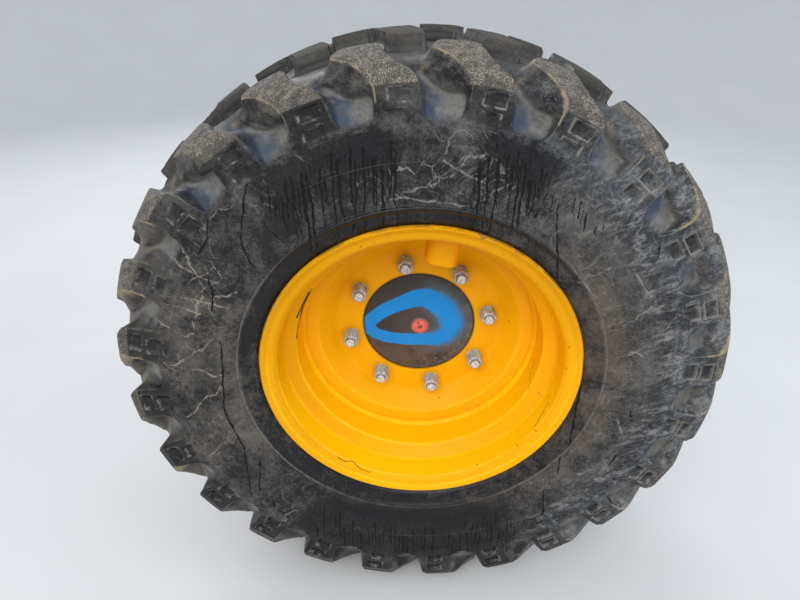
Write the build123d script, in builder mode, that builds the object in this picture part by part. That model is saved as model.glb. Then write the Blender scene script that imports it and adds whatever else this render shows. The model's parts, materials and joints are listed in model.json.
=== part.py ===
from build123d import *
import math
import os

# Wheel end of a compact wheel loader: tyre, one-piece well rim with its
# welded disc, planetary hub, and the axle arm that carries it.
# Millimetres. The origin is the centre of the arm's mounting face. The axle
# runs along Y: +Y goes inboard, into the machine, and the wheel stands
# outboard at -Y. +Z is up.

os.makedirs("parts", exist_ok=True)

# ---------------------------------------------------------------- dimensions
WHEEL_Y = -350.0          # the disc's front face, and the rim's mid-plane

# tyre, 405/70 R20 class
TYRE_R = 535.0            # over the lugs
TYRE_HALF_WIDTH = 207.0

# rim, 13 x 20 inch
RIM_HALF_WIDTH = 178.0    # over the flange lips
WELL_R = 224.0            # inner wall of the rim's well

# disc and its bolt pattern
BORE_R = 110.5
STUD_PCD = 275.0
STUD_COUNT = 8
STUD_PHASE = 101.36       # degrees from +X towards +Z, for the first stud
STUD_R = 9.0
STUD_HOLE_R = 10.0
DISC_T = 12.0
NUT_AF = 27.0
NUT_H = 29.0
NUT_NOSE_R = 13.0         # the round end that the nut's hexagon runs out to
NUT_NOSE = 4.5
STUD_TIP = -35.0          # ahead of the disc's front face

# tyre valve
VALVE_ANGLE = 79.6        # degrees from +X towards +Z
VALVE_Y = -80.0           # from the wheel's mid-plane
VALVE_HOLE_R = 8.0

# hub and its closing cover
HUB_PILOT_R = 110.0
HUB_FLANGE_R = 165.0
HUB_CAVITY_R = 100.0
COVER_R = 109.8
COVER_RISE = 10.0
PLUG_R = 13.0
PLUG_X = 2.0

# running parts
SPINDLE_R = 55.0
RUN_CLEAR = 0.05
SHAFT_R = 19.0
SPLINE_R = 17.5

# arm and its mounting face
ARM_FLANGE_R = 150.0
ARM_FLANGE_T = 22.0
ARM_PCD = 260.0
ARM_BOLTS = 12
ARM_HOLE_R = 8.75
ARM_PILOT_R = 103.0
ARM_PILOT_H = 8.0
ARM_BORE_R = 52.0
ARM_RIBS = 6
SPINDLE_FLANGE_R = 128.0
SPINDLE_BOLT_PCD = 220.0
SPINDLE_BOLTS = 12

# ------------------------------------------------------------------ sections
# Each section row is (y from the wheel's mid-plane, radius).

# rim, the side that the tyre sits on, outboard lip to inboard lip
RIM_TYRE_SIDE = (
    (-178.0, 273.5), (-175.0, 276.3), (-170.0, 276.0), (-165.1, 268.0),
    (-165.1, 258.0), (-124.0, 254.0), (-113.0, 252.0), (-97.0, 231.5),
    (31.0, 231.5), (47.0, 252.0), (58.0, 254.0), (165.1, 258.0),
    (165.1, 268.0), (170.0, 276.0), (175.0, 276.3), (178.0, 273.5),
)
# rim, the side that faces the axle
RIM_AXLE_SIDE = (
    (-178.0, 271.5), (-172.5, 264.0), (-170.5, 252.0), (-164.0, 248.0),
    (-126.0, 246.0), (-117.0, 243.5), (-101.0, WELL_R), (35.0, WELL_R),
    (51.0, 243.5), (60.0, 246.0), (164.0, 248.0), (170.5, 252.0),
    (172.5, 264.0), (178.0, 271.5),
)
# tyre, outside, from the outboard bead over the tread
TYRE_OUTSIDE = (
    (-160.0, 250.0), (-168.0, 266.0), (-172.0, 277.5), (-180.0, 285.0),
    (-188.0, 307.0), (-197.0, 340.0), (-203.0, 370.0), (-206.0, 400.0),
    (-TYRE_HALF_WIDTH, 430.0), (-TYRE_HALF_WIDTH, 484.0), (-195.0, 500.0),
    (-170.0, 513.0), (-140.0, 521.0), (-100.0, 528.0), (-50.0, 533.0),
    (0.0, TYRE_R),
)
# tyre, inside, from the outboard bead toe to the crown
TYRE_INSIDE = (
    (-138.0, 250.0), (-141.0, 272.0), (-157.0, 292.0), (-174.0, 318.0),
    (-185.0, 352.0), (-190.0, 392.0), (-188.0, 428.0), (-176.0, 460.0),
    (-148.0, 477.0), (-90.0, 488.0), (0.0, 492.0),
)
# disc, front and back
DISC_FRONT = ((0.0, BORE_R), (0.0, 163.0), (-34.0, 196.0), (-40.0, WELL_R))
DISC_BACK = ((DISC_T, BORE_R), (DISC_T, 168.0), (-23.0, 202.0),
             (-28.0, WELL_R))


def section(rows, grow=0.0):
    """Rows of (y, radius) as points on the XY plane, x being the radius."""
    return [(r + grow, y + WHEEL_Y) for y, r in rows]


def both_halves(rows):
    """A half section from the outboard side, mirrored past the crown."""
    return list(rows) + [(-y, r) for y, r in reversed(rows[:-1])]


def spoke(angle, radius, y):
    """A point at an angle in the wheel's plane, y from its mid-plane."""
    a = math.radians(angle)
    return (radius * math.cos(a), y + WHEEL_Y, radius * math.sin(a))


def axle_plane(y):
    """A plane square to the axle, facing outboard, with x to +X."""
    return Plane(origin=(0, y, 0), x_dir=(1, 0, 0), z_dir=(0, -1, 0))


def ring_plane(angle, radius, y):
    """A plane square to the axle at one place of a bolt circle."""
    a = math.radians(angle)
    return Plane(origin=(radius * math.cos(a), y, radius * math.sin(a)),
                 x_dir=(math.cos(a), 0, math.sin(a)), z_dir=(0, -1, 0))


STUD_ANGLES = [STUD_PHASE + 360.0 / STUD_COUNT * k for k in range(STUD_COUNT)]
ARM_ANGLES = [15.0 + 360.0 / ARM_BOLTS * k for k in range(ARM_BOLTS)]
SPINDLE_BOLT_ANGLES = [360.0 / SPINDLE_BOLTS * k for k in range(SPINDLE_BOLTS)]
RIB_ANGLES = [360.0 / ARM_RIBS * k for k in range(ARM_RIBS)]

# the valve's line: square to the axle, from the rim's well towards the axle
VALVE_PLANE = Plane(origin=spoke(VALVE_ANGLE, 240.0, VALVE_Y), x_dir=(0, 1, 0),
                    z_dir=(-math.cos(math.radians(VALVE_ANGLE)), 0,
                           -math.sin(math.radians(VALVE_ANGLE))))

# ---------------------------------------------------------------- rim barrel
with BuildPart() as rim_barrel:
    with BuildSketch(Plane.XY):
        with BuildLine():
            tyre_side = FilletPolyline(*section(RIM_TYRE_SIDE), radius=1.5)
            axle_side = FilletPolyline(*section(RIM_AXLE_SIDE), radius=7)
            Line(tyre_side @ 0, axle_side @ 0)
            Line(tyre_side @ 1, axle_side @ 1)
        make_face()
    revolve(axis=Axis.Y)
    with BuildSketch(VALVE_PLANE):
        Circle(VALVE_HOLE_R)
    extrude(amount=25, mode=Mode.SUBTRACT)
rim_barrel.part.label = "rim_barrel"
export_step(rim_barrel.part, "parts/rim_barrel.step")

# ---------------------------------------------------------------------- tyre
with BuildPart() as tyre:
    with BuildSketch(Plane.XY):
        with BuildLine():
            outside = Polyline(*section(both_halves(TYRE_OUTSIDE)))
            inside = Polyline(*section(both_halves(TYRE_INSIDE)))
            Line(outside @ 0, inside @ 0)
            Line(outside @ 1, inside @ 1)
        make_face()
    revolve(axis=Axis.Y)
    # the beads take the rim's own shape
    with BuildSketch(Plane.XY):
        with BuildLine():
            seat = FilletPolyline(*section(RIM_TYRE_SIDE), radius=1.5)
            Polyline(seat @ 0, (200, (seat @ 0).Y), (200, (seat @ 1).Y),
                     seat @ 1)
        make_face()
    revolve(axis=Axis.Y, mode=Mode.SUBTRACT)
tyre.part.label = "tyre"
export_step(tyre.part, "parts/tyre.step")

# ---------------------------------------------------------------- wheel disc
with BuildPart() as wheel_disc:
    with BuildSketch(Plane.XY):
        with BuildLine():
            front = FilletPolyline(*section(DISC_FRONT), radius=14)
            back = FilletPolyline(*section(DISC_BACK), radius=8)
            Line(front @ 0, back @ 0)
            Line(front @ 1, back @ 1)
        make_face()
    revolve(axis=Axis.Y)
    for angle in STUD_ANGLES:
        with BuildSketch(ring_plane(angle, STUD_PCD / 2, WHEEL_Y)):
            Circle(STUD_HOLE_R)
        extrude(amount=-DISC_T, mode=Mode.SUBTRACT)
wheel_disc.part.label = "wheel_disc"
export_step(wheel_disc.part, "parts/wheel_disc.step")

# fillet welds between the disc and the well, one on each side of the disc
WELDS = (  # (y at the disc, y along the well, disc's fall per mm of radius)
    (-40.0, -48.0, 6.0 / 28.0),
    (-28.0, -20.0, 5.0 / 22.0),
)
WELD_LEG = 7.5
with BuildPart() as disc_welds:
    for y_disc, y_well, fall in WELDS:
        with BuildSketch(Plane.XY):
            with BuildLine():
                Polyline(*section(((y_disc, WELL_R), (y_well, WELL_R),
                                   (y_disc + WELD_LEG * fall,
                                    WELL_R - WELD_LEG))), close=True)
            make_face()
        revolve(axis=Axis.Y)
disc_welds.part.label = "disc_welds"
export_step(disc_welds.part, "parts/disc_welds.step")

# --------------------------------------------------------------- valve guard
GUARD_HALF_W = 27.0
GUARD_FRONT = -112.0
GUARD_BACK = -52.0
GUARD_LOW_R = 182.0
GUARD_T = 4.0
GUARD_PLANE = Plane(origin=(0, WHEEL_Y, 0),
                    x_dir=(math.sin(math.radians(VALVE_ANGLE)), 0,
                           -math.cos(math.radians(VALVE_ANGLE))),
                    z_dir=(math.cos(math.radians(VALVE_ANGLE)), 0,
                           math.sin(math.radians(VALVE_ANGLE))))
with BuildPart() as valve_guard:
    # a pressed hood: front wall and two cheeks, open below and behind
    with BuildSketch(GUARD_PLANE.offset(GUARD_LOW_R)):
        with BuildLine():
            hood = FilletPolyline((-GUARD_HALF_W, GUARD_BACK),
                                  (-GUARD_HALF_W, GUARD_FRONT),
                                  (GUARD_HALF_W, GUARD_FRONT),
                                  (GUARD_HALF_W, GUARD_BACK), radius=19)
            core = FilletPolyline((-GUARD_HALF_W + GUARD_T, GUARD_BACK),
                                  (-GUARD_HALF_W + GUARD_T, GUARD_FRONT + GUARD_T),
                                  (GUARD_HALF_W - GUARD_T, GUARD_FRONT + GUARD_T),
                                  (GUARD_HALF_W - GUARD_T, GUARD_BACK), radius=15)
            Line(hood @ 0, core @ 0)
            Line(hood @ 1, core @ 1)
        make_face()
    extrude(amount=60)
    # its top edge follows the rim's inner wall
    with BuildSketch(Plane.XY):
        with BuildLine():
            wall = FilletPolyline(*section(RIM_AXLE_SIDE), radius=7)
            Polyline(wall @ 0, (300, (wall @ 0).Y), (300, (wall @ 1).Y),
                     wall @ 1)
        make_face()
    revolve(axis=Axis.Y, mode=Mode.SUBTRACT)
valve_guard.part.label = "valve_guard"
export_step(valve_guard.part, "parts/valve_guard.step")

# -------------------------------------------------------- valve stem and cap
VALVE_STEPS = (  # (radius from the axle, outer end to inner end, body radius)
    (237.5, 231.5, 14.0),     # seal inside the tyre
    (231.5, 224.0, 7.9),      # through the rim
    (224.0, 214.0, 9.5),      # clamp nut
    (214.0, 196.0, 4.5),      # stem
)
with BuildPart() as valve_stem:
    for r_from, r_to, body_r in VALVE_STEPS:
        with BuildSketch(VALVE_PLANE.offset(240.0 - r_from)):
            Circle(body_r)
        extrude(amount=r_from - r_to)
    # the head and the nut lie on the curved walls
    with BuildSketch(Plane.XY):
        with Locations((WELL_R + 3.75, WHEEL_Y + VALVE_Y)):
            Rectangle(7.5, 60)
    revolve(axis=Axis.Y, mode=Mode.SUBTRACT)
    with BuildSketch(VALVE_PLANE.offset(1.0)):
        Circle(7.9)
    extrude(amount=20)
valve_stem.part.label = "valve_stem"
export_step(valve_stem.part, "parts/valve_stem.step")

with BuildPart() as valve_cap:
    with BuildSketch(VALVE_PLANE.offset(240.0 - 204.0)):
        Circle(6.0)
        Circle(4.5, mode=Mode.SUBTRACT)
    extrude(amount=8)
    with BuildSketch(VALVE_PLANE.offset(240.0 - 196.0)):
        Circle(6.0)
    extrude(amount=8, taper=8)
valve_cap.part.label = "valve_cap"
export_step(valve_cap.part, "parts/valve_cap.step")

# ----------------------------------------------------------------------- hub
HUB_SECTION = (  # (y from the wheel's mid-plane, radius)
    (2.0, HUB_PILOT_R), (12.0, HUB_PILOT_R), (12.0, HUB_FLANGE_R),
    (32.0, HUB_FLANGE_R), (32.0, 144.0), (44.0, 138.0), (128.0, 134.0),
    (136.0, 126.0), (150.0, 122.0), (150.0, SPINDLE_R + RUN_CLEAR),
    (60.0, SPINDLE_R + RUN_CLEAR), (60.0, HUB_CAVITY_R), (2.0, HUB_CAVITY_R),
)
with BuildPart() as hub:
    with BuildSketch(Plane.XY):
        with BuildLine():
            Polyline(*section(HUB_SECTION), close=True)
        make_face()
    revolve(axis=Axis.Y)
    for angle in STUD_ANGLES:
        with BuildSketch(ring_plane(angle, STUD_PCD / 2, WHEEL_Y + DISC_T)):
            Circle(STUD_R)
        extrude(amount=-20.0, mode=Mode.SUBTRACT)
        # room for the stud's head beside the drum
        with BuildSketch(ring_plane(angle, STUD_PCD / 2, WHEEL_Y + 32.0)):
            Circle(17.0)
        extrude(amount=-14.0, mode=Mode.SUBTRACT)
hub.part.label = "hub"
export_step(hub.part, "parts/hub.step")

with BuildPart() as hub_seal:
    with BuildSketch(axle_plane(WHEEL_Y + 158.0)):
        Circle(100.0)
        Circle(61.0, mode=Mode.SUBTRACT)
    extrude(amount=8.0)
    chamfer(hub_seal.edges().group_by(Axis.Y)[-1].sort_by(SortBy.LENGTH)[-1],
            length=3.0)
hub_seal.part.label = "hub_seal"
export_step(hub_seal.part, "parts/hub_seal.step")

# planet gears, carrier and sun inside the hub, as one plain block
with BuildPart() as final_drive:
    with BuildSketch(axle_plane(WHEEL_Y + 60.0)):
        Circle(96.0)
    extrude(amount=40.0)
final_drive.part.label = "final_drive"
export_step(final_drive.part, "parts/final_drive.step")

# --------------------------------------------------------- cover and its plug
with BuildPart() as hub_cover:
    with BuildSketch(Plane.XY):
        with BuildLine():
            crown = ThreePointArc((0, WHEEL_Y - COVER_RISE),
                                  (COVER_R * 0.55, WHEEL_Y - COVER_RISE * 0.70),
                                  (COVER_R - 2.5, WHEEL_Y))
            Polyline(crown @ 1, (COVER_R, WHEEL_Y + 0.8),
                     (COVER_R, WHEEL_Y + 2.0), (99.0, WHEEL_Y + 2.0),
                     (99.0, WHEEL_Y + 12.0), (88.0, WHEEL_Y + 12.0),
                     (80.0, WHEEL_Y + 3.0), (0, WHEEL_Y + 1.0), crown @ 0)
        make_face()
    revolve(axis=Axis.Y)
    with BuildSketch(Plane(origin=(PLUG_X, WHEEL_Y + 2.0, 0),
                           x_dir=(1, 0, 0), z_dir=(0, -1, 0))):
        Circle(PLUG_R)
    extrude(amount=20, mode=Mode.SUBTRACT)
hub_cover.part.label = "hub_cover"
export_step(hub_cover.part, "parts/hub_cover.step")

with BuildPart() as hub_plug:
    with BuildSketch(Plane(origin=(PLUG_X, WHEEL_Y + 1.0, 0),
                           x_dir=(1, 0, 0), z_dir=(0, -1, 0))):
        Circle(PLUG_R)
    extrude(amount=14.0)
    chamfer(hub_plug.faces().sort_by(Axis.Y)[0].edges(), length=1.5)
    with BuildSketch(Plane(origin=(PLUG_X, WHEEL_Y - 13.0, 0),
                           x_dir=(1, 0, 0), z_dir=(0, -1, 0))):
        RegularPolygon(radius=5.0, side_count=6, major_radius=False)
    extrude(amount=-6.0, mode=Mode.SUBTRACT)
hub_plug.part.label = "hub_plug"
export_step(hub_plug.part, "parts/hub_plug.step")

# ------------------------------------------------------------ studs and nuts
with BuildPart() as wheel_studs:
    for angle in STUD_ANGLES:
        with BuildSketch(ring_plane(angle, STUD_PCD / 2, WHEEL_Y + 32.0)):
            Circle(STUD_R)
        extrude(amount=32.0 - STUD_TIP)
        with BuildSketch(ring_plane(angle, STUD_PCD / 2, WHEEL_Y + 42.0)):
            Circle(15.5)
        extrude(amount=10.0)
    chamfer(wheel_studs.edges().group_by(Axis.Y)[0], length=1.6)
wheel_studs.part.label = "wheel_studs"
export_step(wheel_studs.part, "parts/wheel_studs.step")

with BuildPart() as wheel_nuts:
    for angle in STUD_ANGLES:
        with BuildSketch(ring_plane(angle, STUD_PCD / 2, WHEEL_Y)):
            RegularPolygon(radius=NUT_AF / 2, side_count=6, major_radius=False,
                           rotation=17.0)
        extrude(amount=NUT_H - NUT_NOSE)
        with BuildSketch(ring_plane(angle, STUD_PCD / 2, WHEEL_Y)):
            Circle(NUT_NOSE_R)
        extrude(amount=NUT_H)
        with BuildSketch(ring_plane(angle, STUD_PCD / 2, WHEEL_Y)):
            Circle(STUD_R - 0.1)
        extrude(amount=NUT_H, mode=Mode.SUBTRACT)
wheel_nuts.part.label = "wheel_nuts"
export_step(wheel_nuts.part, "parts/wheel_nuts.step")

# ------------------------------------------------------------------ axle arm
# Sections of the fixed pieces are (y from the mounting face, radius).
ARM_OUTSIDE = (
    (-173.0, SPINDLE_FLANGE_R), (-155.0, SPINDLE_FLANGE_R), (-155.0, 92.0),
    (-146.0, 80.0), (-104.0, 80.0), (-40.0, 108.0), (-22.0, 114.0),
    (-ARM_FLANGE_T, ARM_FLANGE_R), (0.0, ARM_FLANGE_R), (0.0, ARM_PILOT_R),
    (ARM_PILOT_H, ARM_PILOT_R), (ARM_PILOT_H, ARM_BORE_R + 4.0),
    (ARM_PILOT_H - 4.0, ARM_BORE_R), (-173.0, ARM_BORE_R),
)
with BuildPart() as axle_arm:
    with BuildSketch(Plane.XY):
        with BuildLine():
            Polyline(*[(r, y) for y, r in ARM_OUTSIDE], close=True)
        make_face()
    revolve(axis=Axis.Y)
    for angle in RIB_ANGLES:
        a = math.radians(angle)
        with BuildSketch(Plane(origin=(0, 0, 0),
                               x_dir=(math.cos(a), 0, math.sin(a)),
                               z_dir=(-math.sin(a), 0, math.cos(a)))):
            with BuildLine():
                Polyline((76, -150), (92, -146), (144, -30),
                         (144, -12), (100, -12), close=True)
            make_face()
        extrude(amount=6, both=True)
    for angle in ARM_ANGLES:
        with BuildSketch(ring_plane(angle, ARM_PCD / 2, 0.0)):
            Circle(ARM_HOLE_R)
        extrude(amount=ARM_FLANGE_T + 1.0, mode=Mode.SUBTRACT)
        # flat seat for the nut
        with BuildSketch(ring_plane(angle, ARM_PCD / 2, -ARM_FLANGE_T)):
            Circle(16.0)
        extrude(amount=14.0, mode=Mode.SUBTRACT)
    for angle in SPINDLE_BOLT_ANGLES:
        with BuildSketch(ring_plane(angle, SPINDLE_BOLT_PCD / 2, -155.0)):
            Circle(7.2)
        extrude(amount=18.0, mode=Mode.SUBTRACT)
axle_arm.part.label = "axle_arm"
export_step(axle_arm.part, "parts/axle_arm.step")

# ------------------------------------------------------------------- spindle
SPINDLE_SECTION = (
    (-285.0, 50.0), (-280.0, SPINDLE_R), (-187.0, SPINDLE_R),
    (-187.0, SPINDLE_FLANGE_R), (-173.0, SPINDLE_FLANGE_R), (-173.0, 30.0),
    (-198.0, 30.0), (-198.0, SHAFT_R + RUN_CLEAR),
    (-230.0, SHAFT_R + RUN_CLEAR), (-230.0, 30.0), (-285.0, 30.0),
)
with BuildPart() as spindle:
    with BuildSketch(Plane.XY):
        with BuildLine():
            Polyline(*[(r, y) for y, r in SPINDLE_SECTION], close=True)
        make_face()
    revolve(axis=Axis.Y)
    for angle in SPINDLE_BOLT_ANGLES:
        with BuildSketch(ring_plane(angle, SPINDLE_BOLT_PCD / 2, -173.0)):
            Circle(6.9)
        extrude(amount=11.0, mode=Mode.SUBTRACT)
spindle.part.label = "spindle"
export_step(spindle.part, "parts/spindle.step")

with BuildPart() as spindle_bolts:
    for angle in SPINDLE_BOLT_ANGLES:
        with BuildSketch(ring_plane(angle, SPINDLE_BOLT_PCD / 2, -146.0)):
            RegularPolygon(radius=10.5, side_count=6, major_radius=False)
        extrude(amount=9.0)
        with BuildSketch(ring_plane(angle, SPINDLE_BOLT_PCD / 2, -155.0)):
            Circle(7.0)
        extrude(amount=28.0)
spindle_bolts.part.label = "spindle_bolts"
export_step(spindle_bolts.part, "parts/spindle_bolts.step")

# ---------------------------------------------------------------- half shaft
# It turns in the spindle's bush. Its free end, past the mounting face, is the
# splined end, plain here at the splines' outer radius.
SHAFT_SECTION = (
    (-282.0, 17.0), (-280.0, SHAFT_R), (4.0, SHAFT_R), (6.0, SPLINE_R),
    (56.0, SPLINE_R), (58.0, SPLINE_R - 2.0),
)
with BuildPart() as half_shaft:
    with BuildSketch(Plane.XY):
        with BuildLine():
            Polyline((0, -282.0), *[(r, y) for y, r in SHAFT_SECTION],
                     (0, 58.0), close=True)
        make_face()
    revolve(axis=Axis.Y)
half_shaft.part.label = "half_shaft"
export_step(half_shaft.part, "parts/half_shaft.step")
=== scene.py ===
import json
import math

import bpy
import numpy as np
from mathutils import Matrix, Vector

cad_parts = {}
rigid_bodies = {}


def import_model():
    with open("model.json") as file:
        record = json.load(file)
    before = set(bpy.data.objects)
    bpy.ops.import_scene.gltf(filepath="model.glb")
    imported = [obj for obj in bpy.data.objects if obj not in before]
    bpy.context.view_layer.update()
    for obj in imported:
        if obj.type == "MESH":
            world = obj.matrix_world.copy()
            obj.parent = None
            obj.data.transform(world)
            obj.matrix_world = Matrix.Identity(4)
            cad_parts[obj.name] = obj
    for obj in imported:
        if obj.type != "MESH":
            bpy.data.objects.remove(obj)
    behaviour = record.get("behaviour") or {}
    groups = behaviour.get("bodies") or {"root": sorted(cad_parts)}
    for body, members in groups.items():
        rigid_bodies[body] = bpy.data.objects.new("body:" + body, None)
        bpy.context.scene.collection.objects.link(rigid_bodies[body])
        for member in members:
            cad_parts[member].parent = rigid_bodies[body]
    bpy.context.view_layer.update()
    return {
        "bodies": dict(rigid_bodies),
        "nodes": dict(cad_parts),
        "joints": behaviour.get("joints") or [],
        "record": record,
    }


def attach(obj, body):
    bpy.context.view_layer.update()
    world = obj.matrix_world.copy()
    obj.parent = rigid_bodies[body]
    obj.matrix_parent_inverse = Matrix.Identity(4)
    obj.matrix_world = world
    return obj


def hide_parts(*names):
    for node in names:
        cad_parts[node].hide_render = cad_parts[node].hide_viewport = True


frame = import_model()

MM = 0.001
WHEEL_Y = -350.0          # mm, the disc's front face and the rim's mid-plane
PI2 = 2.0 * math.pi

# ============================================================ material nodes


class Shade:
    """A small writer of node trees: numbers, tuples and sockets mix freely."""

    def __init__(self, name):
        self.mat = bpy.data.materials.new(name)
        self.mat.use_nodes = True
        self.tree = self.mat.node_tree
        self.tree.nodes.clear()
        self.out = self.new("ShaderNodeOutputMaterial")
        self.bsdf = self.new("ShaderNodeBsdfPrincipled")
        self.link(self.bsdf.outputs[0], self.out.inputs["Surface"])
        self.coord = self.new("ShaderNodeTexCoord").outputs["Object"]
        self._xyz = None
        self._shifts = {0.0: self.coord}

    def new(self, kind, **props):
        node = self.tree.nodes.new(kind)
        for key, value in props.items():
            setattr(node, key, value)
        return node

    def link(self, a, b):
        self.tree.links.new(a, b)

    def put(self, socket, value):
        if isinstance(value, bpy.types.NodeSocket):
            self.link(value, socket)
        elif hasattr(socket.default_value, "__len__") and not hasattr(value, "__len__"):
            socket.default_value = [value] * len(socket.default_value)
        elif hasattr(value, "__len__") and len(socket.default_value) == 4 and len(value) == 3:
            socket.default_value = (*value, 1.0)
        else:
            socket.default_value = value

    def math(self, op, a, b=0.0, c=0.0, clamp=False):
        node = self.new("ShaderNodeMath", operation=op)
        self.put(node.inputs[0], a)
        self.put(node.inputs[1], b)
        self.put(node.inputs[2], c)
        if clamp:
            return self.least(self.most(node.outputs[0], 0.0), 1.0)
        return node.outputs[0]

    def add(self, a, b):
        return self.math("ADD", a, b)

    def sub(self, a, b):
        return self.math("SUBTRACT", a, b)

    def mul(self, a, *more):
        for b in more:
            a = self.math("MULTIPLY", a, b)
        return a

    def inv(self, a):
        return self.math("SUBTRACT", 1.0, a)

    def most(self, a, *more):
        for b in more:
            a = self.math("MAXIMUM", a, b)
        return a

    def least(self, a, *more):
        for b in more:
            a = self.math("MINIMUM", a, b)
        return a

    def step(self, value, low, high, smooth=True):
        """0 below low, 1 above high; low over high turns it round."""
        node = self.new("ShaderNodeMapRange",
                        interpolation_type="SMOOTHSTEP" if smooth else "LINEAR",
                        clamp=not smooth)
        flip = low > high
        self.put(node.inputs["Value"], value)
        node.inputs["From Min"].default_value = min(low, high)
        node.inputs["From Max"].default_value = max(low, high)
        node.inputs["To Min"].default_value = 1.0 if flip else 0.0
        node.inputs["To Max"].default_value = 0.0 if flip else 1.0
        return node.outputs[0]

    def band(self, value, low, high, soft):
        """1 between low and high, falling to 0 over soft outside them."""
        return self.mul(self.step(value, low - soft, low),
                        self.step(value, high + soft, high))

    def mix(self, fac, a, b, blend="MIX"):
        node = self.new("ShaderNodeMix", data_type="RGBA", blend_type=blend,
                        clamp_factor=True)
        self.put(node.inputs[0], fac)
        self.put(node.inputs[6], a)
        self.put(node.inputs[7], b)
        return node.outputs[2]

    def lerp(self, fac, a, b):
        node = self.new("ShaderNodeMix", data_type="FLOAT", clamp_factor=True)
        self.put(node.inputs[0], fac)
        self.put(node.inputs[2], a)
        self.put(node.inputs[3], b)
        return node.outputs[0]

    def xyz(self, vector=None):
        if vector is None:
            if self._xyz is None:
                self._xyz = self.new("ShaderNodeSeparateXYZ")
                self.link(self.coord, self._xyz.inputs[0])
            return self._xyz.outputs
        node = self.new("ShaderNodeSeparateXYZ")
        self.put(node.inputs[0], vector)
        return node.outputs

    def vec(self, x, y, z):
        node = self.new("ShaderNodeCombineXYZ")
        for k, v in enumerate((x, y, z)):
            self.put(node.inputs[k], v)
        return node.outputs[0]

    def vmath(self, op, a, b=(0, 0, 0)):
        node = self.new("ShaderNodeVectorMath", operation=op)
        self.put(node.inputs[0], a)
        self.put(node.inputs[1], b)
        return node.outputs[0]

    def scaled(self, sx, sy, sz, vector=None, shift=(0, 0, 0)):
        node = self.new("ShaderNodeMapping")
        self.put(node.inputs["Vector"], vector if vector is not None else self.coord)
        node.inputs["Scale"].default_value = (sx, sy, sz)
        node.inputs["Location"].default_value = shift
        return node.outputs[0]

    def noise(self, scale, detail=4.0, rough=0.55, vector=None, distortion=0.0,
              color=False, seed=0.0):
        if vector is None:
            vector = self.shifted(seed)
        node = self.new("ShaderNodeTexNoise", noise_dimensions="3D")
        self.put(node.inputs["Vector"], vector)
        node.inputs["Scale"].default_value = scale
        node.inputs["Detail"].default_value = detail
        node.inputs["Roughness"].default_value = rough
        node.inputs["Distortion"].default_value = distortion
        return node.outputs["Color" if color else "Fac"]

    def shifted(self, seed):
        """The coordinate moved to another place in the noise."""
        if seed not in self._shifts:
            self._shifts[seed] = self.scaled(1, 1, 1, shift=(
                1.37 * seed, -2.11 * seed, 3.53 * seed))
        return self._shifts[seed]

    def cells(self, scale, feature="F1", vector=None, what="Distance", rand=1.0, flat=False):
        node = self.new("ShaderNodeTexVoronoi", feature=feature,
                        voronoi_dimensions="2D" if flat else "3D")
        self.put(node.inputs["Vector"], vector if vector is not None else self.coord)
        node.inputs["Scale"].default_value = scale
        node.inputs["Randomness"].default_value = rand
        return node.outputs[what]

    def warped(self, amount, scale, detail=2.0, vector=None, seed=0.0):
        """The coordinate, pushed about by a noise of that scale."""
        base = vector if vector is not None else self.coord
        push = self.vmath("SUBTRACT", self.noise(scale, detail, vector=base,
                                                 color=True, seed=seed),
                          (0.5, 0.5, 0.5))
        node = self.new("ShaderNodeVectorMath", operation="SCALE")
        self.put(node.inputs[0], push)
        node.inputs["Scale"].default_value = amount
        return self.vmath("ADD", base, node.outputs[0])

    def attr(self, name, what="Fac"):
        node = self.new("ShaderNodeAttribute", attribute_name=name)
        return node.outputs[what]

    def turned(self, scale, degrees):
        """The coordinate turned about the axle, then stretched by scale."""
        turn = self.new("ShaderNodeMapping")
        self.put(turn.inputs["Vector"], self.coord)
        turn.inputs["Rotation"].default_value = (0.0, math.radians(degrees), 0.0)
        return self.scaled(*scale, vector=turn.outputs[0])

    def line(self, points, vector=None):
        """Distance in metres to a line of points given in millimetres."""
        base = vector if vector is not None else self.coord
        best = None
        for a, b in zip(points[:-1], points[1:]):
            a, b = Vector(a) * MM, Vector(b) * MM
            run = b - a
            off = self.vmath("SUBTRACT", base, tuple(a))
            dot = self.new("ShaderNodeVectorMath", operation="DOT_PRODUCT")
            self.put(dot.inputs[0], off)
            dot.inputs[1].default_value = tuple(run)
            t = self.math("DIVIDE", dot.outputs["Value"], run.length_squared, clamp=True)
            along = self.new("ShaderNodeVectorMath", operation="SCALE")
            along.inputs[0].default_value = tuple(run)
            self.put(along.inputs["Scale"], t)
            gap = self.new("ShaderNodeVectorMath", operation="DISTANCE")
            self.put(gap.inputs[0], off)
            self.put(gap.inputs[1], along.outputs[0])
            d = gap.outputs["Value"]
            best = d if best is None else self.least(best, d)
        return best

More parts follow.
